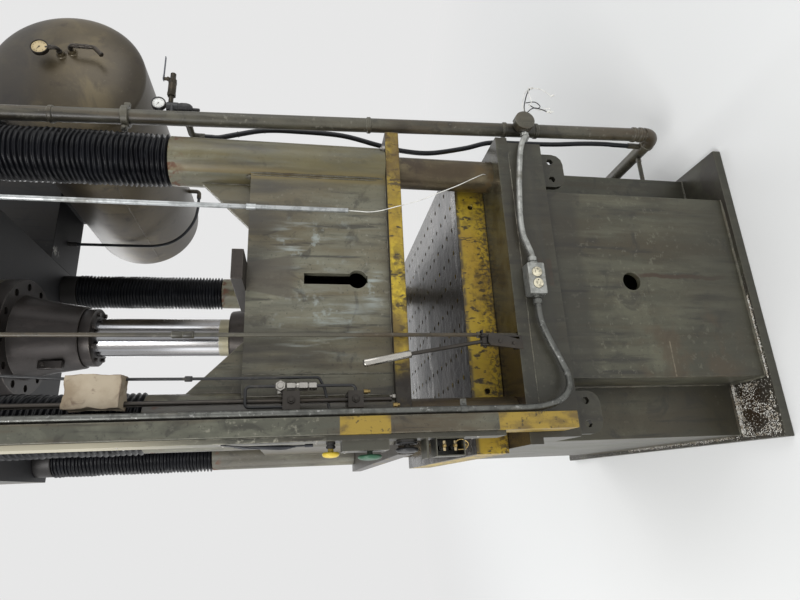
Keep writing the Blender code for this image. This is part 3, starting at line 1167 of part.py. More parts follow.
def clip(x, y, radius, low, high):
    """A clip from a pipe that runs down in front of the crown to the crown's front face."""
    return box("pipe_clip", (x - radius, y, low), (x + radius, FRONT_FACE - SEAT_GAP, high), None)


def hanging_conduit():
    """A conduit's stub in front of the right side, clipped to the crown, with its loose wire."""
    top = CROWN_BOTTOM + HANGING_RISE
    pipe = rods("hanging_conduit", [((STUB_X, STUB_Y, (STUB_END + top) / 2), STUB_RADIUS, top - STUB_END, "Z",
                                     12)],
                "zinc")
    cut(pipe, clip(STUB_X, STUB_Y, STUB_RADIUS, top - 2 * CLIP_HEIGHT, top - CLIP_HEIGHT), "UNION")


def pilot_valves():
    """Two small valves on a pipe that hangs from the crown, the wiring box on it, and a tube."""
    x, y = VALVE_PIPE_X, VALVE_PIPE_Y
    top = CROWN_BOTTOM + HANGING_RISE
    middle, length = (VALVE_PIPE_END + top) / 2, top - VALVE_PIPE_END
    valves = rods("pilot_valves", [((x, y, middle), VALVE_PIPE_RADIUS, length, "Z", 12)], "bolt_steel")
    blocks = boxes("valve_blocks", [((x - w / 2, y - d / 2, z - h / 2), (x + w / 2, y + d / 2, z + h / 2))
                                    for (w, d, h), z in ((UPPER_VALVE, UPPER_VALVE_HEIGHT),
                                                         (LOWER_VALVE, LOWER_VALVE_HEIGHT))], None)
    cut(valves, blocks, "UNION")
    cut(valves, clip(x, y, VALVE_PIPE_RADIUS, top - 2 * CLIP_HEIGHT, top - CLIP_HEIGHT), "UNION")
    w, d, h = WIRING_BOX
    cx, cy, cz = WIRING_BOX_CENTRE
    wiring = box("wiring_box", (cx - w / 2, cy - d / 2, cz - h / 2), (cx + w / 2, cy + d / 2, cz + h / 2),
                 "beige_paint")
    cut(wiring, rods("wiring_box_hole", [((x, y, cz), VALVE_PIPE_RADIUS + SEAT_GAP, h + AIR_GAP, "Z", 12)],
                     None))
    # The tube leaves the upper valve's top, turns down through a fitting and ends in the lower valve's side
    top_z = UPPER_VALVE_HEIGHT + UPPER_VALVE[2] / 2 + SEAT_GAP
    side_x = x + LOWER_VALVE[0] / 2 + SEAT_GAP
    left, tube_y = x - TUBE_OFFSET, y - VALVE_PIPE_RADIUS - PILOT_TUBE_RADIUS - WELD
    loop = bent_route([(left, tube_y, top_z), (left, tube_y, TUBE_LOOP_TOP), (FITTING_X, tube_y, TUBE_LOOP_TOP),
                       (FITTING_X, tube_y, LOWER_VALVE_HEIGHT), (side_x, tube_y, LOWER_VALVE_HEIGHT)],
                       TUBE_BEND, 3)
    pilot = to_mesh(tube("pilot_tube", loop, PILOT_TUBE_RADIUS, "bolt_steel"))
    fittings = rods("tube_fittings", [((FITTING_X, tube_y, FITTING_HEIGHT + side * FITTING_SPACING / 2),
                                       FITTING_RADIUS,
                                       FITTING_LENGTH, "Z", 6) for side in (-1, 1)], None)
    cut(pilot, fittings, "UNION")


def hand_lever():
    """The lever on its bracket: a hub, a rod and grip that lean out, and an arm under the trip rod's collar."""
    px, py, pz = LEVER_PIVOT
    half = LEVER_HUB_WIDTH / 2 + LEVER_SIDE_GAP
    low = BED_TOP + SEAT_GAP
    front = py - LEVER_HUB_RADIUS
    bracket = box("lever_bracket", (px - half - LEVER_CHEEK, front, low),
                  (px + half + LEVER_CHEEK, FRONT_FACE + LEVER_FOOT_DEPTH, low + LEVER_FOOT_THICKNESS),
                  "bolt_steel")
    cheeks = boxes("lever_cheeks", [((px + side * (half + LEVER_CHEEK / 2) - LEVER_CHEEK / 2, front + WELD / 2,
                                      low + WELD),
                                     (px + side * (half + LEVER_CHEEK / 2) + LEVER_CHEEK / 2,
                                      py + LEVER_PIN_RADIUS
                                      + WELD, pz + LEVER_HUB_RADIUS)) for side in (-1, 1)], None)
    cut(bracket, cheeks, "UNION")
    pin = rods("lever_pin", [((px, py, pz), LEVER_PIN_RADIUS, 2 * (half + 2 * LEVER_CHEEK), "X", 12)], None)
    cut(bracket, pin, "UNION")
    pivot = axis_empty("lever_axis", LEVER_PIVOT)
    bore = LEVER_PIN_RADIUS + RUNNING_GAP
    lever = turned("hand_lever", [ring_profile(bore, LEVER_HUB_RADIUS, px - LEVER_HUB_WIDTH / 2,
                                               px + LEVER_HUB_WIDTH / 2)], "bolt_steel", (0.0, py, pz),
                                               sides=12,
                   axis="X")
    head, foot, start = Vector(LEVER_GRIP_HEAD), Vector(LEVER_GRIP_FOOT), Vector(LEVER_PIVOT)
    along = (foot - start).normalized()
    rod = to_mesh(tube("lever_rod", [tuple(start + along * (bore + WELD)), tuple(foot + along * 5 * WELD)],
                       LEVER_ROD_RADIUS, None))
    grip = to_mesh(tube("lever_grip", [tuple(foot), tuple(head)], LEVER_GRIP_RADIUS, None))
    arm_low, arm_high = pz - LEVER_ARM_THICKNESS / 2, pz + LEVER_ARM_THICKNESS / 2
    arm = box("lever_arm", (px - LEVER_ARM_THICKNESS, py + bore + WELD, arm_low),
              (px + LEVER_ARM_THICKNESS, ROD_Y, arm_high), None)
    eye = box("lever_eye", (px - LEVER_ARM_THICKNESS, ROD_Y - LEVER_EYE_HALF, arm_low + WELD / 10),
              (ROD_X + LEVER_EYE_HALF + WELD, ROD_Y + LEVER_EYE_HALF, arm_high - WELD / 10), None)
    for piece in (rod, grip, arm, eye):
        cut(lever, piece, "UNION")
    cut(lever, rods("lever_eye_hole", [((ROD_X, ROD_Y, pz), LEVER_EYE_HALF - 1.5 * WELD,
                                        4 * LEVER_ARM_THICKNESS, "Z",
                                        12)], None))
    carry(pivot, lever)


def trip_rod():
    """The rod that the hand lever lifts, and its guide under the crown."""
    axis = axis_empty("trip_rod_axis", (ROD_X, ROD_Y, ROD_FOOT))
    head = CROWN_BOTTOM - SEAT_GAP - ROD_HEADROOM
    sections = [(0.0, head), (ROD_RADIUS, head)]
    for centre, length, radius in ((ROD_COUPLING_HEIGHT, ROD_COUPLING_LENGTH, ROD_COUPLING_RADIUS),
                                   (ROD_COLLAR_HEIGHT, ROD_COLLAR_LENGTH, ROD_COLLAR_RADIUS)):
        high, low = centre + length / 2, centre - length / 2
        sections += [(ROD_RADIUS, high), (radius, high), (radius, low), (ROD_RADIUS, low)]
    sections += [(ROD_RADIUS, ROD_FOOT), (0.0, ROD_FOOT)]
    rod = turned("trip_rod", [sections], "pipe_paint", (ROD_X, ROD_Y, 0.0), sides=12)
    carry(axis, rod)
    w, d, h = ROD_GUIDE_SIZE
    top = CROWN_BOTTOM - SEAT_GAP
    guide = box("rod_guide", (ROD_X - w / 2, ROD_Y - d / 2, top - h), (ROD_X + w / 2, ROD_Y + d / 2, top),
                "dark_casting")
    cut(guide, rods("guide_hole", [((ROD_X, ROD_Y, top - h / 2), ROD_RADIUS + RUNNING_GAP, 2 * h, "Z", 12)],
                    None))


def hoses():
    """Hoses and a wire that hang free. Each starts and ends a seating gap from its fittings."""
    tube("air_hose", smooth_route(shortened(in_front(HOSE_ROUTE)), 0.045), HOSE_RADIUS, "black_rubber")
    tube("tank_hose", smooth_route(shortened(under_crown(TANK_HOSE_ROUTE)), 0.040), TANK_HOSE_RADIUS,
         "black_rubber")
    tube("loose_wire", smooth_route(in_front(WIRE_ROUTE), 0.020), WIRE_RADIUS, "white_insulation")


def shortened(route):
    """A route without a seating gap at each end."""
    points = [Vector(p) for p in route]
    points[0] += (points[1] - points[0]).normalized() * SEAT_GAP
    points[-1] += (points[-2] - points[-1]).normalized() * SEAT_GAP
    return [tuple(p) for p in points]


base_and_pedestal()
bed()
bolster()
columns()
crown()
main_cylinder()
slide()
bellows()
tank()
air_pipe()
regulator()
control_post()
left_conduit()
outlet()
hanging_conduit()
pilot_valves()
hand_lever()
trip_rod()
hoses()
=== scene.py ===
"""Looks of the four-column press: detailed pieces, materials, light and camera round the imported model.

Everything is in metres in the frame of the part: X to the operator's right, Y away, Z up.
"""
import math
import random

import bmesh
import bpy
from mathutils import Matrix, Vector, noise


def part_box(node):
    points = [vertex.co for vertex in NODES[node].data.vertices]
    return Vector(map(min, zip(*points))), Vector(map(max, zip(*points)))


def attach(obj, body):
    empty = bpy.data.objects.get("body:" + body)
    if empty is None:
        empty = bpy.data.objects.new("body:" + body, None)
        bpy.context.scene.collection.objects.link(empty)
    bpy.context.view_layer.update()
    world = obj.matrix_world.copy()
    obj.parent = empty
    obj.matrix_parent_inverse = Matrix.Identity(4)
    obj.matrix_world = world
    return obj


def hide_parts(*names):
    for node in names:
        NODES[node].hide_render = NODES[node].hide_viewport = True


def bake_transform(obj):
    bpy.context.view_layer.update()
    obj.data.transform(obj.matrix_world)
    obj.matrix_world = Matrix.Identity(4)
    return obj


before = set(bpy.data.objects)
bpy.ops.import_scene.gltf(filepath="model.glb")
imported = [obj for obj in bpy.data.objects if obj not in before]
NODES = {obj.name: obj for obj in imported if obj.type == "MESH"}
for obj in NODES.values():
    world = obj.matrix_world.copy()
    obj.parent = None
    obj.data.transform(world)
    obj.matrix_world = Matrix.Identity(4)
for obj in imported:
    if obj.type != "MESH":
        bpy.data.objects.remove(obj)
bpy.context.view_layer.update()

RANDOM = random.Random(7)
noise.seed_set(7)

# The camera, as fitted to the photograph, which lies on its side
CAMERA_PLACE = (-0.6377, -2.3972, 1.5944)
CAMERA_YAW = 18.833
CAMERA_PITCH = 10.032
CAMERA_ROLL = -0.664
FOCAL_PIXELS = 555.28
FRAME_PIXELS = 800.0
SENSOR = 36.0

# Sizes that the frame's boxes don't give
COLUMN_X, COLUMN_Y = 0.4344, 0.6733
COLUMN_RADIUS = 0.0560
SLEEVE_RADIUS = 0.0826
SLEEVE_BORE = 0.0572
NUT_RADIUS = 0.0780
COLLAR_RADIUS = 0.0856
BELLOWS_LOW, BELLOWS_HIGH = 2.0286, 2.7667
TANK_X, TANK_Z, TANK_RADIUS = 1.003, 2.5403, 0.2975
TANK_FRONT, TANK_BACK, TANK_DISH = -0.350, 0.920, 0.075
GAUGE_BOSS, COCK_BOSS, BOSS_HEIGHT = (0.0444, 0.0067), (0.062, -0.032), 0.016
GAUGE_SHIFT, GAUGE_HALF_DEPTH = (-0.0116, 0.0580), 0.010
PIPE_Y, PIPE_RADIUS = -0.680, 0.0268
PIPE_TOP, PIPE_FOOT = (0.5675, 2.950), (0.6650, 0.270)
PIPE_FOOT_Z, PIPE_RETURN_Y = 0.185, 0.100
STATION_Y = -0.8223
CONDUIT_X, CONDUIT_Y, CONDUIT_RADIUS = -0.4394, -0.8650, 0.0103
OUTLET_Y, OUTLET_Z, JUNCTION_Y, JUNCTION_Z = -0.8050, 0.8465, -0.7253, 0.7750
PEDESTAL_END, PEDESTAL_SHOULDER, PEDESTAL_WIDE, PEDESTAL_NARROW = 0.759, 0.587, 0.518, 0.336
BED_UNDERSIDE, APRON_FACE, APRON_HALF_WIDTH = 0.8733, 0.7785, 0.514
LUG_X, LUG_Y, LUG_LOW, LUG_TOP = 0.505, 0.735, 0.752, 0.785
BED_NUT, CROWN_NUT, COLLAR = (0.8010, 0.8730), (3.3456, 3.4156), (2.7671, 2.8450)
SLIDE_BOX_TOP, SLIDE_BOX_FRONT, SLIDE_BOX_SIDE = 1.7653, 0.7292, 0.460
RAM_RADIUS, GLAND_BORE = 0.0783, 0.0793
LEVER_PIVOT = (-0.2225, -0.7950, 1.034)
TRIP_ROD_X, TRIP_ROD_Y = -0.1960, -0.7700
REGULATOR_X, REGULATOR_Y, REGULATOR_LOW, REGULATOR_TOP = 0.664, -0.650, 1.985, 2.070
VALVE_STEM_X = 0.788
PLATE_TOP, PLATEN_TOP = 0.0331, 1.3133

TO_FRONT, TO_LEFT = (0.0, -1.0, 0.0), (-1.0, 0.0, 0.0)
CORNERS = [("%s_%s" % (end, side), x, y)
           for side, x in (("left", -COLUMN_X), ("right", COLUMN_X))
           for end, y in (("front", -COLUMN_Y), ("rear", COLUMN_Y))]
BACKDROP = (0.80, 0.80, 0.80)
UPRIGHT = 0.08

HOSE_ROUTE = ((0.6090, -0.5700, 1.9500), (0.6090, -0.5700, 1.925), (0.6090, -0.5700, 1.900),
              (0.6330, -0.5630, 1.835),
              (0.6590, -0.5600, 1.740), (0.6640, -0.5600, 1.620), (0.6580, -0.5600, 1.450),
              (0.6250, -0.5600, 1.310),
              (0.6050, -0.5600, 1.210), (0.6030, -0.5600, 1.100), (0.6340, -0.5600, 0.960),
              (0.6680, -0.5600, 0.850),
              (0.6740, -0.5600, 0.720), (0.6760, -0.5650, 0.580), (0.6800, -0.5780, 0.450),
              (0.6740, -0.5930, 0.370),
              (0.6681, -0.6000, 0.315), (0.6681, -0.6000, 0.288), (0.6681, -0.6000, 0.262))
TANK_HOSE_ROUTE = ((0.6900, 0.6200, 2.8003), (0.6900, 0.6200, 2.740), (0.6900, 0.6200, 2.600),
        (0.6900, 0.6200, 2.480), (0.6930, 0.6200, 2.400), (0.7120, 0.6200, 2.330), (0.7520, 0.6200, 2.272),
        (0.8100, 0.6200, 2.228), (0.8750, 0.6200, 2.200), (0.9500, 0.6200, 2.190), (0.9750, 0.6200, 2.190),
        (1.0000, 0.6200, 2.190))
WIRE_ROUTE = ((0.2030, -0.8100, 1.4517), (0.2020, -0.8100, 1.420), (0.2010, -0.8100, 1.385),
              (0.2080, -0.8100, 1.345),
              (0.2230, -0.8095, 1.300), (0.2500, -0.8080, 1.220), (0.2840, -0.8050, 1.150),
              (0.3190, -0.7990, 1.080),
              (0.3560, -0.7870, 1.020), (0.3920, -0.7600, 0.972), (0.4130, -0.7275, 0.948))


# Camera, light and floor

def make_camera():
    """The camera at the photograph's place. The picture's x axis runs down the press."""
    yaw, pitch, roll = (math.radians(a) for a in (CAMERA_YAW, CAMERA_PITCH, CAMERA_ROLL))
    ahead = Vector((math.sin(yaw) * math.cos(pitch), math.cos(yaw) * math.cos(pitch), -math.sin(pitch)))
    right = Vector((math.cos(yaw), -math.sin(yaw), 0.0))
    down = ahead.cross(right)
    level = math.cos(roll) * right + math.sin(roll) * down
    plumb = math.cos(roll) * down - math.sin(roll) * right
    data = bpy.data.cameras.new("camera")
    data.sensor_width = SENSOR
    data.lens = FOCAL_PIXELS * SENSOR / FRAME_PIXELS
    data.clip_start, data.clip_end = 0.05, 60.0
    camera = bpy.data.objects.new("camera", data)
    turn = Matrix((plumb, level, -ahead)).transposed().to_4x4()
    camera.matrix_world = Matrix.Translation(CAMERA_PLACE) @ turn
    bpy.context.scene.collection.objects.link(camera)
    bpy.context.scene.camera = camera


def area_lamp(name, place, target, size, power):
    data = bpy.data.lights.new(name, "AREA")
    data.shape = "RECTANGLE"
    data.size, data.size_y = size
    data.energy = power
    lamp = bpy.data.objects.new(name, data)
    lamp.location = place
    lamp.rotation_euler = (Vector(target) - Vector(place)).to_track_quat("-Z", "Y").to_euler()
    bpy.context.scene.collection.objects.link(lamp)


def new_nodes(tree, *kinds):
    return [tree.nodes.new("ShaderNode" + kind) for kind in kinds]


def link(tree, *pairs):
    for output, socket in pairs:
        tree.links.new(output, socket)


def seen_directly(tree):
    """A factor that is 1 for camera, glossy and transmission rays."""
    path, some, any_of_them = new_nodes(tree, "LightPath", "Math", "Math")
    some.operation = any_of_them.operation = "MAXIMUM"
    link(tree, (path.outputs["Is Camera Ray"], some.inputs[0]), (path.outputs["Is Glossy Ray"], some.inputs[1]),
         (some.outputs[0], any_of_them.inputs[0]),
         (path.outputs["Is Transmission Ray"], any_of_them.inputs[1]))
    return any_of_them.outputs[0]


def make_world():
    """Soft even light, with the pale backdrop where the world itself is seen."""
    world = bpy.data.worlds.new("studio")
    bpy.context.scene.world = world
    world.use_nodes = True
    tree = world.node_tree
    tree.nodes.clear()
    lit, shown, mix, out = new_nodes(tree, "Background", "Background", "MixShader", "OutputWorld")
    lit.inputs["Color"].default_value = (0.96, 0.98, 1.0, 1.0)
    lit.inputs["Strength"].default_value = 0.72
    shown.inputs["Color"].default_value = (*BACKDROP, 1.0)
    link(tree, (seen_directly(tree), mix.inputs["Fac"]), (lit.outputs[0], mix.inputs[1]),
         (shown.outputs[0], mix.inputs[2]), (mix.outputs[0], out.inputs["Surface"]))


def make_floor():
    """A pale plane that takes the shadow and fades into the backdrop's colour with distance."""
    mesh = bpy.data.meshes.new("floor")
    reach = 40.0
    mesh.from_pydata([(-reach, -reach, 0), (reach, -reach, 0), (reach, reach, 0), (-reach, reach, 0)], [],
            [(0, 1, 2, 3)])
    floor = bpy.data.objects.new("floor", mesh)
    floor.location.z = -0.0005
    material = bpy.data.materials.new("floor")
    material.use_nodes = True
    tree = material.node_tree
    shader, out = tree.nodes["Principled BSDF"], tree.nodes["Material Output"]
    shader.inputs["Base Color"].default_value = (0.82, 0.82, 0.81, 1.0)
    shader.inputs["Roughness"].default_value = 0.85
    shader.inputs["Specular IOR Level"].default_value = 0.2
    place, away, spread, plain, blend = new_nodes(tree, "TexCoord", "VectorMath", "MapRange", "Emission",
            "MixShader")
    away.operation, spread.interpolation_type = "LENGTH", "SMOOTHSTEP"
    spread.inputs["From Min"].default_value, spread.inputs["From Max"].default_value = 1.6, 5.5
    plain.inputs["Color"].default_value = (*BACKDROP, 1.0)
    link(tree, (place.outputs["Object"], away.inputs[0]), (away.outputs["Value"], spread.inputs["Value"]),
         (spread.outputs["Result"], blend.inputs["Fac"]), (shader.outputs[0], blend.inputs[1]),
         (plain.outputs[0], blend.inputs[2]), (blend.outputs[0], out.inputs["Surface"]))
    mesh.materials.append(material)
    bpy.context.scene.collection.objects.link(floor)


def make_studio():
    bpy.context.scene.view_settings.view_transform = "Standard"
    make_world()
    make_floor()
    area_lamp("key", (-3.6, -3.4, 4.2), (0.0, -0.4, 1.6), (2.2, 2.2), 170.0)
    area_lamp("fill", (3.4, -3.6, 2.6), (0.1, -0.5, 1.4), (2.4, 2.4), 36.0)
    area_lamp("back", (1.6, 4.2, 3.8), (0.0, 0.0, 1.6), (3.0, 2.0), 70.0)
    area_lamp("left", (-4.2, 0.6, 1.8), (0.0, 0.0, 1.6), (3.0, 2.4), 40.0)


# Materials

class Finish:
    """A material that is built up in layers: each lays a colour and a roughness where its mask says."""

    def __init__(self, name, colour, roughness, metallic=0.0, specular=0.5):
        self.material = bpy.data.materials.new(name)
        self.material.use_nodes = True
        self.tree = self.material.node_tree
        self.shader = self.tree.nodes["Principled BSDF"]
        self.values = {"Base Color": (*colour, 1.0), "Roughness": roughness, "Metallic": metallic}
        for socket, value in self.values.items():
            self.shader.inputs[socket].default_value = value
        self.shader.inputs["Specular IOR Level"].default_value = specular
        self.coordinates = self.tree.nodes.new("ShaderNodeTexCoord")
        self.normal = None

    def node(self, kind, inputs):
        """A new node. Each of its inputs is given a value, or another node's output to link to."""
        made = self.tree.nodes.new("ShaderNode" + kind)
        for name, given in inputs.items():
            if isinstance(given, bpy.types.NodeSocket):
                self.tree.links.new(given, made.inputs[name])
            else:
                made.inputs[name].default_value = given
        return made

    def math(self, operation, a, b=None):
        node = self.node("Math", {0: a} if b is None else {0: a, 1: b})
        node.operation = operation
        return node.outputs[0]

    def spread(self, value, low, high):
        """A value turned into 0 at low and 1 at high, smoothly; high may be below low."""
        start, end = (0.0, 1.0) if low <= high else (1.0, 0.0)
        node = self.node("MapRange", {"Value": value, "From Min": min(low, high), "From Max": max(low, high),
                "To Min": start, "To Max": end})
        node.interpolation_type = "SMOOTHSTEP"
        return node.outputs["Result"]

    def noise(self, scale, low=0.0, high=1.0, detail=5.0, stretch=1.0, shift=0.0, warp=0.0):
        """Noise spread from low to high. stretch is a factor for Z, or one for each of X, Y and Z."""
        factors = stretch if isinstance(stretch, tuple) else (1.0, 1.0, stretch)
        mapping = self.node("Mapping", {"Scale": factors, "Location": (shift, shift, shift),
                "Vector": self.coordinates.outputs["Object"]})
        node = self.node("TexNoise", {"Scale": scale, "Detail": detail, "Roughness": 0.6, "Distortion": warp,
                "Vector": mapping.outputs["Vector"]})
        return self.spread(node.outputs["Fac"], low, high)

    def share_of(self, output, axis):
        node = self.node("SeparateXYZ", {0: self.coordinates.outputs[output]})
        return node.outputs["XYZ".index(axis)]

    def along(self, axis):
        return self.share_of("Object", axis)

    def facing(self, axis):
        return self.share_of("Normal", axis)

    def band(self, axis, low, high, soft=0.01):
        """1 between two coordinates along an axis."""
        place = self.along(axis)
        return self.both(self.spread(place, low - soft, low + soft),
                self.spread(place, high + soft, high - soft))

    def chain(self, operation, masks):
        found = masks[0]
        for mask in masks[1:]:
            found = self.math(operation, found, mask)
        return found

    def both(self, *masks):
        return self.chain("MULTIPLY", masks)

    def either(self, *masks):
        return self.chain("MAXIMUM", masks)

    def without(self, mask):
        return self.math("SUBTRACT", 1.0, mask)

    def edges(self, width=0.006):
        """1 along sharp outer and inner edges."""
        bevel = self.node("Bevel", {"Radius": width})
        bevel.samples = 4
        geometry = self.node("NewGeometry", {})
        dot = self.node("VectorMath", {0: bevel.outputs["Normal"], 1: geometry.outputs["Normal"]})
        dot.operation = "DOT_PRODUCT"
        return self.spread(self.without(dot.outputs["Value"]), 0.015, 0.14)

    def corners(self, distance):
        """1 in corners and under ledges: painted shade, with the dirt that gathers there."""
        node = self.node("AmbientOcclusion", {"Distance": distance})
        node.samples = 4
        return self.spread(node.outputs["AO"], 0.85, 0.25)

    def mix(self, socket, mask, value):
        """Lays a value over what a socket of the shader has so far."""
        kind = "RGBA" if socket == "Base Color" else "FLOAT"
        node = self.tree.nodes.new("ShaderNodeMix")
        node.data_type = kind
        a, b = (node.inputs[6], node.inputs[7]) if kind == "RGBA" else (node.inputs[2], node.inputs[3])
        out = node.outputs[2] if kind == "RGBA" else node.outputs[0]
        target = self.shader.inputs[socket]
        if target.is_linked:
            self.tree.links.new(target.links[0].from_socket, a)
        else:
            a.default_value = self.values[socket]
        b.default_value = (*value, 1.0) if kind == "RGBA" else value
        self.tree.links.new(mask, node.inputs[0])
        self.tree.links.new(out, target)

    def layer(self, mask, colour=None, roughness=None, metallic=None, share=1.0):
        if share < 1.0:
            mask = self.math("MULTIPLY", mask, share)
        for socket, value in (("Base Color", colour), ("Roughness", roughness), ("Metallic", metallic)):
            if value is not None:
                self.mix(socket, mask, value)

    def bump(self, height, distance, strength=1.0):
        node = self.node("Bump", {"Distance": distance, "Strength": strength, "Height": height})
        if self.normal:
            self.tree.links.new(self.normal, node.inputs["Normal"])
        self.normal = node.outputs["Normal"]
        self.tree.links.new(self.normal, self.shader.inputs["Normal"])


def old_paint(name, colour, stain=(0.062, 0.042, 0.021), dark=(0.017, 0.015, 0.012), pale=(0.23, 0.22, 0.17),
              rough=0.46):
    """Machine paint under oil: brown runs, dark corners of painted shade and dirt, rubbed edges and pale
    scuffs.
    """
    f = Finish(name, colour, rough, 0.0, 0.5)
    f.layer(f.noise(1.7, 0.36, 0.66, 6, shift=3.0), tuple(c * 0.62 for c in colour), rough - 0.06)
    f.layer(f.noise(4.0, 0.50, 0.70, 8, shift=9.0, warp=0.6), tuple(c * 1.55 for c in colour), rough + 0.08,
            share=0.7)
    f.layer(f.noise(14.0, 0.48, 0.66, 8, 0.25, 6.0), tuple(c * 1.6 for c in colour), rough + 0.06,
            share=0.45)
    f.layer(f.noise(3.6, 0.47, 0.64, 7, stretch=0.35, shift=5.0), stain, rough - 0.10, share=0.75)
    f.layer(f.noise(26.0, 0.48, 0.66, 6, UPRIGHT, 2.0), stain, rough - 0.12, share=0.60)
    f.layer(f.noise(34.0, 0.55, 0.68, 6, UPRIGHT, 7.0), dark, rough - 0.12, share=0.70)
    f.layer(f.noise(8.0, 0.56, 0.66, 7, shift=14.0, warp=1.2), dark, rough - 0.10, share=0.55)
    f.layer(f.both(f.noise(60.0, 0.58, 0.66, 9, shift=4.0), f.noise(3.0, 0.44, 0.58, 3, shift=8.0)), pale, 0.55,
            share=0.60)
    f.layer(f.noise(120.0, 0.60, 0.70, 4, shift=21.0), dark, 0.5, share=0.55)
    # Dark corners and the undersides of ledges: painted shade, with dirt.
    f.layer(f.corners(0.09), dark, rough - 0.08, share=0.90)
    f.layer(f.both(f.edges(), f.noise(30.0, 0.40, 0.58, 6)), pale, 0.40, 0.35, share=0.80)
    f.bump(f.noise(240.0, detail=3), 0.0004, 0.35)
    f.bump(f.noise(13.0, detail=6), 0.0016, 0.30)
    return f


def frame_paint():
    f = old_paint("frame_paint", (0.068, 0.066, 0.043), stain=(0.044, 0.034, 0.017), pale=(0.125, 0.120, 0.085))
    # A rusty run below the pedestal's hole, and a thin dark one above it
    front = f.band("Y", -0.79, -0.74)
    wander = f.noise(9.0, 0.3, 0.7, 3, (0.0, 0.0, 1.0))
    x = f.math("SUBTRACT", f.along("X"), f.math("MULTIPLY", wander, 0.012))
    run = f.both(f.spread(x, 0.004, 0.010), f.spread(x, 0.026, 0.018), f.band("Z", 0.10, 0.44, 0.03), front)
    f.layer(f.both(run, f.noise(24.0, 0.30, 0.55, 4, UPRIGHT)), (0.040, 0.022, 0.011), 0.34, share=0.92)
    drip = f.both(f.band("X", -0.044, -0.036, 0.003), f.band("Z", 0.64, 0.83, 0.02), front)
    f.layer(drip, (0.014, 0.012, 0.009), 0.30, share=0.9)
    # Bare brown primer under the outlet box, and long pale and dark runs down the front box
    primer = f.both(f.band("X", -0.030, 0.066, 0.003), f.band("Z", 0.768, 0.816, 0.003), front)
    f.layer(primer, (0.085, 0.052, 0.030), 0.5, share=0.85)
    low_front = f.both(front, f.spread(f.along("Z"), 0.86, 0.80))
    f.layer(f.both(low_front, f.noise(18.0, 0.50, 0.64, 8, 0.10, 31.0)), (0.105, 0.103, 0.070), 0.5,
            share=0.45)
    f.layer(f.both(low_front, f.noise(11.0, 0.54, 0.64, 8, 0.16, 41.0)), (0.022, 0.019, 0.014), 0.34,
            share=0.5)
    f.layer(f.spread(f.along("Z"), 0.40, 0.05), (0.036, 0.034, 0.024), 0.42, share=0.55)
    low_rust = f.both(front, f.band("X", -0.36, -0.10, 0.05), f.band("Z", 0.12, 0.50, 0.08))
    f.layer(f.both(low_rust, f.noise(9.0, 0.44, 0.62, 7, shift=17.0)), (0.070, 0.046, 0.024), 0.5, share=0.5)
    # The bed's edge is black with oil; the lugs below it are darkened too, partly oil and partly painted shade
    # under the bed, and the apron between them is darker.
    rim = f.band("Z", 0.640, 0.915, 0.02)
    f.layer(f.both(rim, f.either(f.band("Z", 0.868, 0.915, 0.004),
            f.both(f.band("Z", 0.60, 0.80, 0.01), f.spread(f.along("Y"), -0.70, -0.728)))),
            (0.022, 0.020, 0.015), 0.40, share=0.55)
    f.layer(f.both(front, f.band("Z", 0.785, 0.868, 0.006)), (0.034, 0.032, 0.024), 0.42, share=0.6)
    # The bed's top is wet with oil, brown at the left and greener at the right
    bed_top = f.both(f.spread(f.facing("Z"), 0.80, 0.95), f.band("Z", 0.90, 0.93, 0.005))
    f.layer(bed_top, (0.052, 0.048, 0.032), 0.24)
    f.layer(f.both(bed_top, f.spread(f.along("X"), 0.0, -0.30)), (0.034, 0.022, 0.014), 0.26, share=0.9)
    f.layer(f.both(bed_top, f.noise(12.0, 0.46, 0.60, 6)), (0.016, 0.013, 0.010), 0.20, share=0.7)
    # Oil pools and spilt grit on the base plate's top at the front left
    top = f.both(f.spread(f.facing("Z"), 0.80, 0.95), f.spread(f.along("Z"), 0.045, 0.036))
    pool = f.both(top, f.band("X", -0.53, -0.345, 0.03), f.band("Y", -0.76, -0.60, 0.03),
                  f.noise(9.0, 0.35, 0.50, 5))
    f.layer(pool, (0.030, 0.020, 0.012), 0.16)
    f.layer(f.both(top, f.noise(7.0, 0.40, 0.55, 6)), (0.026, 0.022, 0.017), 0.42, share=0.85)
    f.layer(f.both(top, f.noise(150.0, 0.60, 0.66, 2), f.spread(f.along("X"), 0.3, -0.5)), (0.50, 0.48, 0.43),
            0.8,
            share=0.8)
    # The faint outline of a welded patch at the lower left of the front
    level = f.both(f.band("Z", 0.368, 0.372, 0.0015), f.band("X", -0.336, -0.215, 0.004))
    f.layer(f.both(level, front, f.noise(40.0, 0.35, 0.6, 3)), (0.24, 0.20, 0.14), 0.5, share=0.6)
    return f.material


def crown_paint():
    f = old_paint("crown_paint", (0.060, 0.060, 0.054), dark=(0.010, 0.011, 0.014))
    # Faces that look down are darker and bluer: painted shade under the crown.
    f.layer(f.spread(f.facing("Z"), -0.5, -0.9), (0.0060, 0.0062, 0.0085), 0.6, share=0.92)
    return f.material


def beam_paint():
    """The tank's beams are near black, painted shade under the crown, with their undersides darker still and a
    pale smear under the rear one.
    """
    f = old_paint("beam_paint", (0.018, 0.018, 0.019), stain=(0.020, 0.016, 0.012), dark=(0.004, 0.004, 0.005),
                  pale=(0.060, 0.060, 0.050), rough=0.6)
    # Faces that look down are darker and bluer still: painted shade.
    f.layer(f.spread(f.facing("Z"), -0.5, -0.9), (0.0045, 0.0046, 0.0065), 0.62, share=0.92)
    smear = f.both(f.spread(f.facing("Z"), -0.5, -0.9), f.band("X", 0.575, 0.605, 0.02),
                   f.band("Y", 0.40, 0.52, 0.03),
                   f.noise(60.0, 0.46, 0.56, 6))
    f.layer(smear, (0.42, 0.41, 0.38), 0.6, share=0.9)
    return f.material


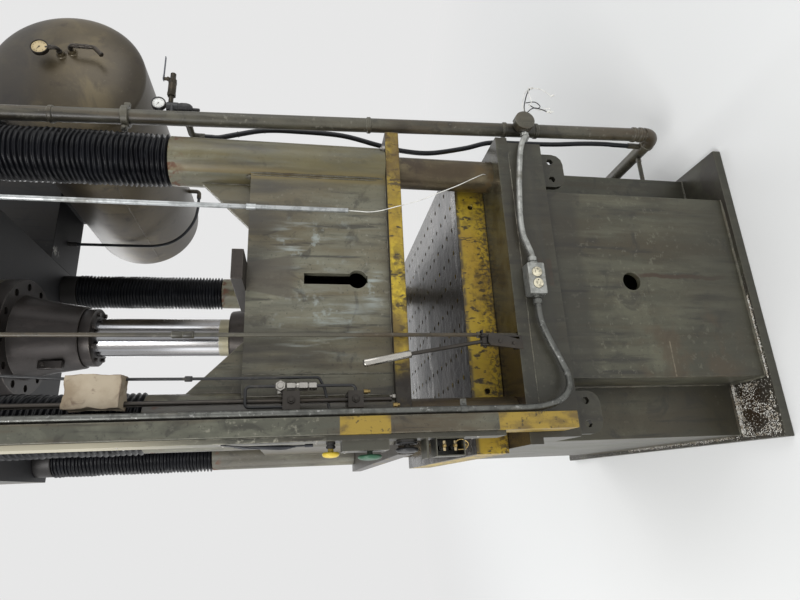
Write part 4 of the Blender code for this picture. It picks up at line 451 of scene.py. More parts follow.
def slide_paint():
    f = old_paint("slide_paint", (0.148, 0.144, 0.104), stain=(0.100, 0.078, 0.040), rough=0.42)
    # The paint round the keyhole is rubbed pale by chains and tools
    front = f.spread(f.along("Y"), -0.722, -0.727)
    patch = f.either(f.both(f.band("X", -0.23, -0.06, 0.06), f.band("Z", 1.42, 1.66, 0.07)),
            f.both(f.band("X", 0.04, 0.20, 0.05), f.band("Z", 1.46, 1.68, 0.06)),
            f.both(f.band("X", -0.10, 0.09, 0.05), f.band("Z", 1.345, 1.40, 0.03)))
    streaks = f.either(f.noise(42.0, 0.50, 0.66, 8, 0.12, 1.0), f.noise(24.0, 0.56, 0.70, 9, shift=6.0))
    f.layer(f.both(front, f.noise(9.0, 0.52, 0.66, 8, 0.15, 51.0)), (0.040, 0.036, 0.027), 0.34, share=0.7)
    f.layer(f.both(front, patch, streaks), (0.29, 0.32, 0.30), 0.42, 0.1, share=0.85)
    # Dark runs from the top edge, and the two upright seams with rusty oil along the right one
    from_top = f.both(front, f.spread(f.along("Z"), 1.60, 1.765), f.noise(16.0, 0.40, 0.58, 5, 0.1, 3.0))
    f.layer(from_top, (0.034, 0.030, 0.024), 0.36, share=0.8)
    f.layer(f.both(front, f.band("X", 0.3625, 0.3660, 0.0012)), (0.018, 0.015, 0.010), 0.4, share=0.9)
    f.layer(f.both(front, f.band("X", -0.3085, -0.3050, 0.0012)), (0.026, 0.023, 0.018), 0.4, share=0.8)
    f.layer(f.both(front, f.band("X", 0.350, 0.386, 0.008), f.noise(18.0, 0.32, 0.52, 6, 0.12)),
            (0.150, 0.105, 0.028), 0.34, share=0.75)
    # A cleaner V below the stop bar
    reach = f.math("MULTIPLY", f.math("SUBTRACT", 1.80, f.along("Z")), 0.20)
    side = f.math("ABSOLUTE", f.math("SUBTRACT", f.along("X"), 0.005))
    wedge = f.both(front, f.spread(f.math("SUBTRACT", side, reach), 0.042, 0.036),
                   f.spread(f.along("Z"), 1.60, 1.64))
    f.layer(wedge, (0.070, 0.060, 0.044), 0.38, share=0.75)
    # Brown oil at the right of the front and along the top edges
    f.layer(f.both(f.spread(f.along("X"), 0.24, 0.44), f.noise(9.0, 0.34, 0.60, 6, 0.3)),
            (0.125, 0.104, 0.040), 0.32, share=0.75)
    f.layer(f.both(f.spread(f.along("X"), -0.28, -0.42), f.noise(12.0, 0.34, 0.62, 6, 0.2)),
            (0.040, 0.032, 0.022), 0.34, share=0.6)
    f.layer(f.both(f.spread(f.along("Z"), 1.96, 2.02), f.noise(30.0, 0.50, 0.62, 6)), (0.10, 0.035, 0.015), 0.7,
            share=0.9)
    return f.material


def yellow_paint(name, brown):
    """Yellow safety paint worn to black steel. brown is how much old dirt lies over it."""
    f = Finish(name, (0.50, 0.36, 0.020), 0.42, 0.0, 0.5)
    f.layer(f.noise(3.0, 0.40, 0.66, 5, shift=2.0), (0.36, 0.23, 0.020), 0.42)
    f.layer(f.noise(7.0, 0.50, 0.72, 7, 0.4, 6.0), (0.150, 0.092, 0.018), 0.38, share=brown)
    f.layer(f.both(f.noise(4.0, 0.46 - 0.10 * brown, 0.62, 4, shift=12.0), f.noise(38.0, 0.44, 0.60, 6)),
            (0.045, 0.032, 0.018), 0.40, 0.3, share=0.9)
    f.layer(f.noise(55.0, 0.56, 0.62, 8, 0.45, 15.0), (0.024, 0.018, 0.012), 0.40, share=0.9)
    f.layer(f.noise(30.0, 0.60, 0.66, 9, 0.3, 25.0, 0.5), (0.030, 0.022, 0.014), 0.38, share=0.9)
    f.layer(f.both(f.edges(0.010), f.noise(36.0, 0.40, 0.60, 5)), (0.060, 0.045, 0.028), 0.35, 0.5)
    # Dark corners and the undersides of ledges: painted shade, with dirt.
    f.layer(f.corners(0.05), (0.030, 0.024, 0.016), 0.40, share=0.7)
    f.bump(f.noise(30.0, 0.45, 0.60, 6), 0.0010, 0.5)
    f.bump(f.noise(200.0, detail=3), 0.0004, 0.3)
    return f


def bolster_finish():
    f = yellow_paint("bolster_paint", 0.55)
    low = f.spread(f.along("Z"), 0.985, 0.925)
    f.layer(f.both(low, f.noise(75.0, 0.46, 0.56, 4)), (0.055, 0.038, 0.018), 0.45, share=0.85)
    rim = f.spread(f.along("Z"), 1.012, 1.024)
    f.layer(f.both(rim, f.noise(30.0, 0.36, 0.52, 5)), (0.060, 0.048, 0.030), 0.35, share=0.9)
    # The top is bare steel under a wet film of dark oil
    top = f.spread(f.facing("Z"), 0.70, 0.92)
    f.layer(top, (0.032, 0.026, 0.021), 0.30, 0.25)
    f.layer(f.both(top, f.noise(4.0, 0.48, 0.62, 6, (0.35, 1.0, 1.0), 4.0)), (0.085, 0.076, 0.066), 0.16, 0.45,
            share=0.85)
    f.layer(f.both(top, f.noise(11.0, 0.50, 0.62, 6, (0.4, 1.0, 1.0), 8.0)), (0.012, 0.010, 0.009), 0.34, 0.1)
    return f.material


def platen_finish():
    f = yellow_paint("platen_paint", 1.0)
    f.layer(f.both(f.spread(f.along("X"), 0.10, 0.42), f.noise(4.0, 0.30, 0.55, 4)), (0.100, 0.062, 0.018),
            0.36,
            share=0.9)
    f.layer(f.both(f.spread(f.along("X"), -0.06, -0.16), f.noise(6.0, 0.34, 0.56, 6)), (0.125, 0.082, 0.022),
            0.38,
            share=0.85)
    f.layer(f.both(f.spread(f.along("X"), -0.24, -0.34), f.noise(9.0, 0.20, 0.45, 4)), (0.018, 0.014, 0.011),
            0.34,
            share=0.95)
    blot = f.either(f.band("X", -0.010, 0.022, 0.018), f.band("X", 0.045, 0.085, 0.018))
    f.layer(f.both(blot, f.band("Z", 1.270, 1.306, 0.01), f.noise(40.0, 0.35, 0.6, 4)), (0.045, 0.032, 0.020),
            0.4,
            share=0.9)
    f.layer(f.spread(f.math("ABSOLUTE", f.facing("Z")), 0.7, 0.9), (0.048, 0.042, 0.036), 0.42, 0.3)
    return f.material


def post_finish():
    f = old_paint("post_paint", (0.096, 0.096, 0.070))
    for low, high in ((1.352, 1.490), (0.700, 1.043)):
        band = f.both(f.band("Z", low, high, 0.0015), f.spread(f.along("Z"), 0.5, 0.6))
        f.layer(f.both(band, f.noise(16.0, 0.26, 0.40, 5, 0.4, 3.0)), (0.29, 0.195, 0.026), 0.46)
        f.layer(f.both(band, f.noise(26.0, 0.44, 0.66, 7, 0.5, 5.0)), (0.105, 0.068, 0.020), 0.42,
                share=0.85)
        f.layer(f.both(band, f.noise(70.0, 0.58, 0.66, 6, shift=9.0)), (0.030, 0.022, 0.012), 0.45, share=0.8)
    f.layer(f.both(f.band("Z", 1.05, 1.34, 0.02), f.noise(20.0, 0.46, 0.62, 6, UPRIGHT)), (0.05, 0.045, 0.034),
            0.4,
            share=0.6)
    return f.material


def raceway_finish():
    f = old_paint("raceway_paint", (0.120, 0.118, 0.090), pale=(0.42, 0.40, 0.32))
    # The pale upper band is painted light: the lit look of the side that faces the left.
    pale = f.both(f.spread(f.along("Z"), 1.75, 2.15), f.noise(10.0, 0.20, 0.44, 5, UPRIGHT))
    f.layer(pale, (0.42, 0.385, 0.285), 0.55, share=0.9)
    f.layer(f.spread(f.along("Z"), 1.56, 1.50), (0.042, 0.041, 0.030), 0.42, share=0.75)
    return f.material


def steel(name, colour, roughness, oil=(0.07, 0.05, 0.03), share=0.6, streak=UPRIGHT):
    """Bare or plated steel with oil streaks and fine scratches."""
    f = Finish(name, colour, roughness, 1.0)
    f.layer(f.noise(20.0, 0.42, 0.66, 6, streak), oil, roughness + 0.12, 0.55, share=share)
    f.layer(f.noise(5.0, 0.46, 0.66, 5, shift=4.0), tuple(c * 0.62 for c in colour), roughness + 0.1,
            share=share)
    f.layer(f.noise(90.0, 0.56, 0.70, 5, shift=2.0), tuple(min(1.0, c * 1.35) for c in colour), roughness,
            share=0.5)
    # Dark corners and the undersides of ledges: painted shade, with dirt.
    f.layer(f.corners(0.03), (0.02, 0.017, 0.013), 0.5, 0.2, share=0.7)
    f.bump(f.noise(170.0, detail=4), 0.0003, 0.35)
    return f


def column_finish():
    f = steel("column_steel", (0.190, 0.158, 0.100), 0.30, (0.075, 0.056, 0.028), 0.75, 0.03)
    f.layer(f.noise(7.0, 0.42, 0.60, 8, 0.3, 9.0), (0.060, 0.042, 0.026), 0.38, 0.5, share=0.8)
    f.layer(f.spread(f.along("Z"), 2.74, 2.77), (0.030, 0.028, 0.027), 0.45, 0.5)
    f.layer(f.both(f.band("Z", 0.86, 0.98, 0.03), f.noise(26.0, 0.42, 0.60, 5)), (0.115, 0.080, 0.038), 0.42,
            0.5)
    f.layer(f.both(f.band("Z", 1.16, 1.30, 0.03), f.noise(12.0, 0.46, 0.60, 5)), (0.055, 0.040, 0.028), 0.34,
            0.5,
            share=0.9)
    return f.material


def chrome_finish():
    f = Finish("ram_chrome", (0.37, 0.375, 0.39), 0.16, 1.0)
    f.layer(f.noise(30.0, 0.46, 0.64, 6, 0.02), (0.22, 0.21, 0.20), 0.26, share=0.8)
    f.layer(f.noise(6.0, 0.50, 0.66, 6, 0.35, 5.0), (0.20, 0.18, 0.155), 0.30, share=0.7)
    rim = f.both(f.band("Z", 1.889, 1.932, 0.004), f.noise(18.0, 0.20, 0.50, 4))
    f.layer(rim, (0.26, 0.235, 0.15), 0.42, 0.6, share=0.9)
    f.bump(f.noise(120.0, detail=4, stretch=0.1), 0.0002, 0.3)
    return f.material


def casting_finish(name="dark_casting", colour=(0.036, 0.031, 0.029)):
    f = Finish(name, colour, 0.42, 0.55)
    f.layer(f.noise(4.0, 0.40, 0.68, 6), tuple(c * 0.55 for c in colour), 0.36)
    f.layer(f.noise(22.0, 0.52, 0.70, 7, 0.25), tuple(min(1.0, c * 1.9) for c in colour), 0.42, 0.7,
            share=0.6)
    f.layer(f.noise(70.0, 0.58, 0.68, 5), (0.020, 0.016, 0.013), 0.3, share=0.6)
    f.layer(f.both(f.edges(0.005), f.noise(30.0, 0.40, 0.58, 4)), (0.17, 0.15, 0.13), 0.35, 0.8, share=0.7)
    # Dark corners and the undersides of ledges: painted shade, with dirt.
    f.layer(f.corners(0.04), (0.016, 0.014, 0.012), 0.5, share=0.8)
    f.bump(f.noise(150.0, detail=5), 0.0006, 0.4)
    return f.material


def tank_finish():
    f = Finish("tank_paint", (0.100, 0.078, 0.044), 0.36, 0.35)
    f.layer(f.noise(1.8, 0.38, 0.66, 6, shift=2.0), (0.060, 0.047, 0.028), 0.34)
    f.layer(f.noise(5.5, 0.48, 0.68, 7, warp=0.8, shift=8.0), (0.150, 0.118, 0.062), 0.40, share=0.7)
    f.layer(f.noise(3.2, 0.50, 0.66, 8, shift=23.0, warp=0.5), (0.044, 0.034, 0.022), 0.36, share=0.7)
    # Darker towards the bottom: painted shade on the underside.
    f.layer(f.spread(f.along("Z"), 2.42, 2.27), (0.036, 0.029, 0.020), 0.36, share=0.75)
    f.layer(f.noise(13.0, 0.56, 0.72, 7, shift=5.0), (0.036, 0.026, 0.018), 0.40, share=0.7)
    f.layer(f.noise(70.0, 0.62, 0.72, 5, shift=1.0), (0.15, 0.13, 0.09), 0.5, share=0.4)
    f.layer(f.spread(f.along("Z"), 2.55, 2.70), (0.052, 0.050, 0.050), 0.50, 0.3, share=0.6)
    f.layer(f.spread(f.facing("Z"), 0.35, 0.85), (0.050, 0.042, 0.036), 0.60, 0.2, share=0.7)
    f.bump(f.noise(60.0, detail=5), 0.0006, 0.3)
    return f.material


def zinc_finish(name="zinc", colour=(0.40, 0.405, 0.38)):
    f = Finish(name, colour, 0.42, 0.85)
    f.layer(f.noise(40.0, 0.44, 0.62, 5), tuple(c * 0.66 for c in colour), 0.50)
    f.layer(f.noise(14.0, 0.54, 0.70, 6, 0.3, 5.0), (0.110, 0.098, 0.070), 0.55, 0.3, share=0.8)
    f.layer(f.noise(90.0, 0.60, 0.70, 4, shift=3.0), (0.56, 0.56, 0.54), 0.5, share=0.5)
    # Dark corners and the undersides of ledges: painted shade, with dirt.
    f.layer(f.corners(0.02), (0.05, 0.045, 0.035), 0.6, 0.2, share=0.7)
    f.bump(f.noise(130.0, detail=4), 0.0004, 0.4)
    return f.material


def rubber_finish(name, colour=(0.0030, 0.0033, 0.0048), roughness=0.30, gloss=0.22):
    f = Finish(name, colour, roughness, 0.0, gloss)
    f.layer(f.noise(9.0, 0.46, 0.66, 5), tuple(c * 1.9 for c in colour), roughness + 0.14, share=0.7)
    f.layer(f.both(f.noise(36.0, 0.55, 0.68, 6), f.noise(3.0, 0.45, 0.60)), (0.022, 0.024, 0.029), 0.6,
            share=0.5)
    f.bump(f.noise(110.0, detail=4), 0.0005, 0.4)
    return f.material


def plastic_finish(name, colour, roughness=0.4, dirt=(0.05, 0.042, 0.03)):
    f = Finish(name, colour, roughness, 0.0, 0.5)
    f.layer(f.noise(45.0, 0.50, 0.68, 5), tuple(c * 0.72 for c in colour), roughness + 0.08, share=0.8)
    f.layer(f.both(f.noise(16.0, 0.50, 0.68, 6, shift=4.0), f.noise(70.0, 0.40, 0.60)), dirt, 0.55, share=0.6)
    # Corners get the dirt colour: painted shade, with dirt.
    f.layer(f.corners(0.012), dirt, 0.6, share=0.8)
    f.bump(f.noise(260.0, detail=3), 0.0002, 0.35)
    return f.material


def beige_finish():
    f = Finish("beige_cover", (0.37, 0.31, 0.225), 0.62)
    f.layer(f.noise(8.0, 0.40, 0.64, 6, shift=3.0), (0.24, 0.185, 0.12), 0.6)
    f.layer(f.noise(24.0, 0.52, 0.68, 7, warp=0.7), (0.115, 0.072, 0.045), 0.55, share=0.8)
    f.layer(f.both(f.edges(0.006), f.noise(24.0, 0.40, 0.60)), (0.09, 0.05, 0.035), 0.6, share=0.9)
    f.bump(f.noise(35.0, detail=6), 0.002, 0.6)
    return f.material


def grit_finish():
    f = Finish("grit", (0.62, 0.60, 0.55), 0.9)
    f.layer(f.noise(60.0, 0.42, 0.62, 4), (0.34, 0.29, 0.22), 0.85)
    f.bump(f.noise(500.0, detail=2), 0.0004, 0.4)
    return f.material


def make_materials():
    weld = old_paint("weld_paint", (0.086, 0.082, 0.058))
    weld.bump(weld.noise(320.0, detail=2), 0.0006, 0.5)
    return {"frame": frame_paint(), "crown": crown_paint(), "beam": beam_paint(), "slide": slide_paint(),
            "bolster": bolster_finish(), "platen": platen_finish(), "post": post_finish(),
            "raceway": raceway_finish(), "column": column_finish(), "chrome": chrome_finish(),
            "casting": casting_finish(), "tank": tank_finish(), "zinc": zinc_finish(),
            "flange": casting_finish("ram_flange", (0.044, 0.037, 0.032)), "weld": weld.material,
            "steel": steel("dark_steel", (0.070, 0.064, 0.058), 0.36).material,
            "bright": steel("bright_steel", (0.50, 0.48, 0.44), 0.26, share=0.40).material,
            "brass": steel("brass", (0.50, 0.36, 0.14), 0.34, share=0.6).material,
            "bronze": steel("old_bronze", (0.050, 0.044, 0.034), 0.40).material,
            "galvanised": zinc_finish("galvanised", (0.50, 0.52, 0.52)),
            # A darker copy of the zinc finish, for the conduit on the post.
            "darker_zinc": zinc_finish("darker_zinc", (0.150, 0.152, 0.140)),
            "pipe": old_paint("pipe_paint", (0.076, 0.070, 0.050), pale=(0.20, 0.19, 0.15)).material,
            "bellows": rubber_finish("bellows_cloth"), "hose": rubber_finish("hose_rubber",
            (0.006, 0.007, 0.010), 0.36, 0.5), "black": plastic_finish("black_plastic", (0.017, 0.017, 0.018),
            0.38, (0.09, 0.08, 0.065)), "green": plastic_finish("green_plastic", (0.022, 0.088, 0.046), 0.34),
            "yellow": plastic_finish("yellow_plastic", (0.58, 0.42, 0.035), 0.36),
            "ivory": plastic_finish("ivory_plastic", (0.76, 0.70, 0.52), 0.36),
            "cream": plastic_finish("cream_dial", (0.56, 0.44, 0.24), 0.40),
            "white": plastic_finish("white_dial", (0.80, 0.80, 0.77), 0.35, (0.3, 0.27, 0.2)),
            "wire": plastic_finish("white_wire", (0.78, 0.77, 0.72), 0.40, (0.35, 0.31, 0.24)),
            "beige": beige_finish(), "grit": grit_finish(), "lever": plastic_finish("lever_sleeve",
            (0.060, 0.066, 0.085), 0.42),}


# Mesh tools

def new_piece(name, work, finish, body="frame", stands_for=(), smooth=40.0, weighted=False):
    """Turns a bmesh into a piece that rides on a body, with smooth faces up to an angle."""
    bmesh.ops.recalc_face_normals(work, faces=work.faces)
    mesh = bpy.data.meshes.new(name)
    work.to_mesh(mesh)
    work.free()
    mesh.shade_smooth()
    mesh.set_sharp_from_angle(angle=math.radians(smooth))
    mesh.materials.append(FINISHES[finish])
    made = bpy.data.objects.new(name, mesh)
    bpy.context.scene.collection.objects.link(made)
    if weighted:
        even = made.modifiers.new("even_normals", "WEIGHTED_NORMAL")
        even.keep_sharp = True
    if body:
        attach(made, body)
    if stands_for:
        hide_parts(*stands_for)
    return made


def dressed(node, work, finish, smooth=40.0, body="frame", weighted=False):
    """A piece that stands for one CAD node."""
    new_piece(node + "_dressed", work, finish, body, (node,), smooth, weighted)


def turn_for(axis):
    """Turns Z to an axis."""
    direction = Vector(axis) if not isinstance(axis, str) else Vector([float(a == axis) for a in "XYZ"])
    return direction.to_track_quat("Z", "Y").to_matrix().to_4x4()


def angles(count, shift=0.0):
    """Evenly spread angles of a full turn, each moved on by a share of a step."""
    return [2 * math.pi * (i + shift) / count for i in range(count)]


def skin(work, rings, closed=False):
    """Faces between neighbouring rings of vertices."""
    for low, high in zip(rings, rings[1:] + (rings[:1] if closed else [])):
        for k in range(len(low)):
            j = (k + 1) % len(low)
            work.faces.new((low[k], low[j], high[j], high[k]))


def lathe(work, profile, place=(0.0, 0.0, 0.0), axis="Z", sides=64):
    """Turns a profile of (radius, height) points, from one end to the other, about an axis through place."""
    matrix = Matrix.Translation(place) @ turn_for(axis)
    rings = []
    for radius, height in profile:
        if radius < 1e-7:
            rings.append([work.verts.new(matrix @ Vector((0.0, 0.0, height)))])
            continue
        rings.append([work.verts.new(matrix @ Vector((radius * math.cos(a), radius * math.sin(a), height)))
                      for a in angles(sides)])
    closed = len(rings[0]) > 1 and len(rings[-1]) > 1
    pairs = list(zip(rings, rings[1:])) + ([(rings[-1], rings[0])] if closed else [])
    for low, high in pairs:
        for i in range(sides):
            j = (i + 1) % sides
            corner = [low[i % len(low)], low[j % len(low)], high[j % len(high)], high[i % len(high)]]
            corner = [v for k, v in enumerate(corner) if v not in corner[:k]]
            if len(corner) > 2:
                work.faces.new(corner)
    return work


def soft_ring(inner, outer, low, high, edge=0.001):
    """A ring's profile with chamfered outer rims."""
    return [(inner, low), (outer - edge, low), (outer, low + edge), (outer, high - edge), (outer - edge, high),
            (inner, high)]


def soft_disc(radius, low, high, edge=0.001):
    return soft_ring(0.0, radius, low, high, edge)


def plain_disc(radius, low, high):
    return [(0.0, low), (radius, low), (radius, high), (0.0, high)]


def block(work, low, high, edge=0.001, segments=2):
    """A box between two corners with rounded edges."""
    size = Vector(high) - Vector(low)
    place = Matrix.Translation((Vector(high) + Vector(low)) / 2) @ Matrix.Diagonal((*size, 1.0))
    made = bmesh.ops.create_cube(work, size=1.0, matrix=place)
    around = list(dict.fromkeys(e for v in made["verts"] for e in v.link_edges))
    if edge:
        bmesh.ops.bevel(work, geom=around, offset=edge, segments=segments, affect="EDGES", profile=0.5)
    return work


def hexagon(work, place, axis, across, low, high, edge=0.0012):
    """A nut or a bolt's head, with its corners chamfered, its length along an axis."""
    lathe(work, soft_disc(across / math.sqrt(3.0), low, high, edge), place, axis, 6)


def bolt_circle(work, radius, count, shift, across, low, high):
    """Hexagon heads round the press's axis."""
    for angle in angles(count, shift):
        hexagon(work, (radius * math.cos(angle), radius * math.sin(angle), 0.0), "Z", across, low, high)


def frames_along(points):
    """A pair of side vectors at each point of a path, turned as little as possible from one to the next."""
    points = [Vector(p) for p in points]
    found = []
    side = None
    for i, point in enumerate(points):
        ahead = (points[min(i + 1, len(points) - 1)] - points[max(i - 1, 0)]).normalized()
        if side is None:
            side = ahead.orthogonal().normalized()
        side = (side - ahead * side.dot(ahead)).normalized()
        found.append((point, side, ahead.cross(side)))
    return found


def sweep(work, points, radius, sides=16):
    """A closed tube along a path. radius is one size, or a function of the share of the path."""
    rings = []
    rows = frames_along(points)
    for i, (point, a, b) in enumerate(rows):
        r = radius(i / (len(rows) - 1)) if callable(radius) else radius
        rings.append([work.verts.new(point + r * (math.cos(t) * a + math.sin(t) * b)) for t in angles(sides)])
    skin(work, rings)
    work.faces.new(rings[0][::-1])
    work.faces.new(rings[-1])
    return work


def smooth_path(route, spacing):
    """Points along a smooth curve through the route's own points."""
    points = [Vector(p) for p in route]
    padded = [2 * points[0] - points[1], *points, 2 * points[-1] - points[-2]]
    dense = [points[0]]
    for a, b, c, d in zip(padded, padded[1:], padded[2:], padded[3:]):
        steps = max(2, round((c - b).length / spacing))
        for i in range(1, steps + 1):
            t = i / steps
            dense.append(0.5 * (2 * b + (c - a) * t + (2 * a - 5 * b + 4 * c - d) * t * t
                                + (3 * b - a - 3 * c + d) * t ** 3))
    return dense


def bent_path(corners, radius, steps=10):
    """Straight runs with round bends at the inner corners."""
    points = [Vector(p) for p in corners]
    route = [points[0]]
    for before, corner, after in zip(points, points[1:], points[2:]):
        inward, outward = (before - corner).normalized(), (after - corner).normalized()
        half = inward.angle(outward) / 2
        reach = radius / math.tan(half)
        middle = corner + (inward + outward).normalized() * radius / math.sin(half)
        start, end = corner + inward * reach, corner + outward * reach
        for i in range(steps + 1):
            spoke = (start - middle).slerp(end - middle, i / steps)
            route.append(middle + spoke.normalized() * radius)
    route.append(points[-1])
    return route


def finely(points, spacing):
    """The same path with extra points on its long straight runs."""
    found = [Vector(points[0])]
    for a, b in zip(points, points[1:]):
        steps = max(1, round((Vector(b) - Vector(a)).length / spacing))
        found += [Vector(a).lerp(Vector(b), i / steps) for i in range(1, steps + 1)]
    return found


def refined(node, finish, body="frame", width=0.002, cutters=()):
    """A copy of a CAD node's mesh with rounded edges, which stands for the node."""
    work = bmesh.new()
    work.from_mesh(NODES[node].data)
    bmesh.ops.remove_doubles(work, verts=work.verts, dist=0.00002)
    bmesh.ops.dissolve_limit(work, angle_limit=math.radians(1.0), verts=work.verts, edges=work.edges)
    sharp = [e for e in work.edges if e.is_manifold and e.calc_face_angle(0.0) > math.radians(32)]
    bmesh.ops.bevel(work, geom=sharp, offset=width, segments=2, affect="EDGES", profile=0.5,
                    clamp_overlap=True)
    if cutters:
        work = carved(work, cutters)
    dressed(node, work, finish, 50.0, body=body, weighted=True)


def carved(work, cutters):
    """A bmesh with others cut out of it, by Blender's exact solver."""
    def temporary(source):
        mesh = bpy.data.meshes.new("temporary")
        bmesh.ops.recalc_face_normals(source, faces=source.faces)
        source.to_mesh(mesh)
        source.free()
        made = bpy.data.objects.new("temporary", mesh)
        bpy.context.scene.collection.objects.link(made)
        return made
    target = temporary(work)
    tools = [temporary(cutter) for cutter in cutters]
    for tool in tools:
        step = target.modifiers.new("cut", "BOOLEAN")
        step.operation, step.solver, step.object = "DIFFERENCE", "EXACT", tool
    bpy.context.view_layer.update()
    mesh = bpy.data.meshes.new_from_object(target.evaluated_get(bpy.context.evaluated_depsgraph_get()))
    result = bmesh.new()
    result.from_mesh(mesh)
    for made in (target, *tools):
        data = made.data
        bpy.data.objects.remove(made, do_unlink=True)
        bpy.data.meshes.remove(data)
    bpy.data.meshes.remove(mesh)
    return result


def weld_bead(work, start, end, radius=0.005, pitch=0.006):
    """A rippled weld bead along a straight joint."""
    start, end = Vector(start), Vector(end)
    steps = max(6, round((end - start).length / pitch * 2))
    points = [start.lerp(end, i / steps) + noise.noise_vector(start.lerp(end, i / steps) * 40.0) * 0.0012
              for i in range(steps + 1)]

    def rippled(t):
        """Every other ring is thicker, and both ends run out thin."""
        return radius * (0.86 + 0.20 * (round(t * steps) % 2)) * min(1.0, 0.5 + 6 * t, 6.5 - 6 * t)

    sweep(work, points, rippled, 8)


def weld_ring(work, place, radius, bead, axis):
    """A rippled bead round a circle."""
    matrix = Matrix.Translation(place) @ turn_for(axis)
    pitch = 0.008
    steps = max(24, 2 * round(math.pi * radius / pitch))
    sides = 8
    rings = []
    for i, a in enumerate(angles(steps)):
        r = bead * (0.86 + 0.20 * (i % 2))
        rings.append([work.verts.new(matrix @ Vector(((radius + r * math.cos(t)) * math.cos(a),
                                                      (radius + r * math.cos(t)) * math.sin(a),
                                                      r * math.sin(t))))
                      for t in angles(sides)])
    skin(work, rings, closed=True)


def cord_curve(name, route, spacing, radius, finish):
    """A round cord as a curve of one open spline."""
    curve = bpy.data.curves.new(name, "CURVE")
    curve.dimensions = "3D"
    curve.bevel_depth = radius
    curve.bevel_resolution = 5
    curve.use_fill_caps = True
    points = smooth_path(route, spacing)
    spline = curve.splines.new("POLY")
    spline.points.add(len(points) - 1)
    for point, place in zip(spline.points, points):
        point.co = (*place, 1.0)
    spline.use_smooth = True
    curve.materials.append(FINISHES[finish])
    made = bpy.data.objects.new(name, curve)
    bpy.context.scene.collection.objects.link(made)
    return made


# Cords

def make_cords():
    """The two hoses and the loose wire, along the routes of their solids."""
    rows = (("air_hose_line", "air_hose", HOSE_ROUTE, 0.012, 0.0095, "hose", "black_rubber", "object", "stiff",
             "hanging"),
            ("tank_hose_line", "tank_hose", TANK_HOSE_ROUTE, 0.012, 0.0080, "hose", "black_rubber", "object",
             "stiff",
             "hanging"),
            ("loose_wire_line", "loose_wire", WIRE_ROUTE, 0.008, 0.0014, "wire", "white_insulation", "bare",
             "medium",
             "hanging"))
    for name, node, route, spacing, radius, finish, slot, far_end, stiffness, lay in rows:
        made = cord_curve(name, route, spacing, radius, finish)
        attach(made, "frame")
        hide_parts(node)


# The frame of the press

def make_frame():
    anchor = lathe(bmesh.new(), soft_disc(0.009, 0.010, 0.040), (-0.4414, -0.6774, 0.0), "Z", 28)
    refined("base_plate", "frame", width=0.003, cutters=(anchor,))
    refined("pedestal", "frame", width=0.003)
    refined("bed", "frame", width=0.002)
    refined("crown", "crown", width=0.004)
    frame_welds()
    make_bolster()
    for name, x, y in CORNERS:
        make_column(name, x, y)
    make_cylinder()


def frame_welds():
    """Beads where the pedestal's boxes meet the base plate, and on the lugs and aprons."""
    low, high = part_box("pedestal")
    foot = low.z + 0.0005
    wide, narrow = PEDESTAL_WIDE, PEDESTAL_NARROW
    work = bmesh.new()
    for side_y in (-1, 1):
        end, shoulder = side_y * PEDESTAL_END, side_y * PEDESTAL_SHOULDER
        weld_bead(work, (-narrow, end, foot), (narrow, end, foot), 0.0055)
        for side in (-1, 1):
            weld_bead(work, (side * narrow, end, foot), (side * narrow, shoulder, foot))
            weld_bead(work, (side * narrow, shoulder, foot), (side * wide, shoulder, foot))
            weld_bead(work, (side * narrow, shoulder, foot), (side * narrow, shoulder, high.z - 0.13), 0.0042)
    for side in (-1, 1):
        weld_bead(work, (side * wide, -PEDESTAL_SHOULDER, foot), (side * wide, PEDESTAL_SHOULDER, foot))
    # The seams between the aprons and the bed, and the lugs' upright joints
    for y in (-APRON_FACE, APRON_FACE):
        weld_bead(work, (-APRON_HALF_WIDTH, y, BED_UNDERSIDE), (APRON_HALF_WIDTH, y, BED_UNDERSIDE), 0.0025,
                  0.005)
    for x in (-LUG_X, LUG_X):
        for y in (-LUG_Y, LUG_Y):
            weld_bead(work, (x, y, LUG_LOW), (x, y, LUG_TOP - 0.002), 0.0035)
    new_piece("frame_welds", work, "weld")


def make_bolster():
    """The bolster with all its rows of blind holes, and the lifting holes in its ends."""
    low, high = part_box("bolster")
    body = block(bmesh.new(), low, high, 0.003)
    holes = bmesh.new()
    columns, rows, pitch = 11, 15, (0.095, 0.075)
    radius, depth = 0.0080, 0.022
    for i in range(columns):
        for j in range(rows):
            x, y = (i - (columns - 1) / 2) * pitch[0], (j - (rows - 1) / 2) * pitch[1]
            lathe(holes, [(0.0, -depth), (radius, -depth), (radius, -0.0015), (radius + 0.0025, 0.001),
                          (0.0, 0.001)], (x, y, high.z), "Z", 12)
    ends = bmesh.new()
    middle = (low.z + high.z) / 2
    for x in (-0.347, 0.347):
        for side, y in ((-1, low.y), (1, high.y)):
            lathe(ends, [(0.0, -0.030), (0.0095, -0.030), (0.0095, -0.001), (0.0115, 0.001), (0.0, 0.001)],
                  (x, y, middle), (0.0, side, 0.0), 20)
    dressed("bolster", carved(body, [holes, ends]), "bolster", weighted=True)


def make_column(name, x, y):
    """A column with its two nuts and its collar."""
    node = "column_" + name
    low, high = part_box(node)
    work = bmesh.new()
    lathe(work, soft_disc(COLUMN_RADIUS, low.z, high.z, 0.003), (x, y, 0.0), "Z", 72)
    for nut in (BED_NUT, CROWN_NUT):
        hexagon(work, (x, y, 0.0), "Z", 2 * NUT_RADIUS * 0.866, *nut, 0.004)
    lathe(work, soft_disc(COLLAR_RADIUS, *COLLAR, 0.003), (x, y, 0.0), "Z", 72)
    dressed(node, work, "column", 30.0, weighted=True)


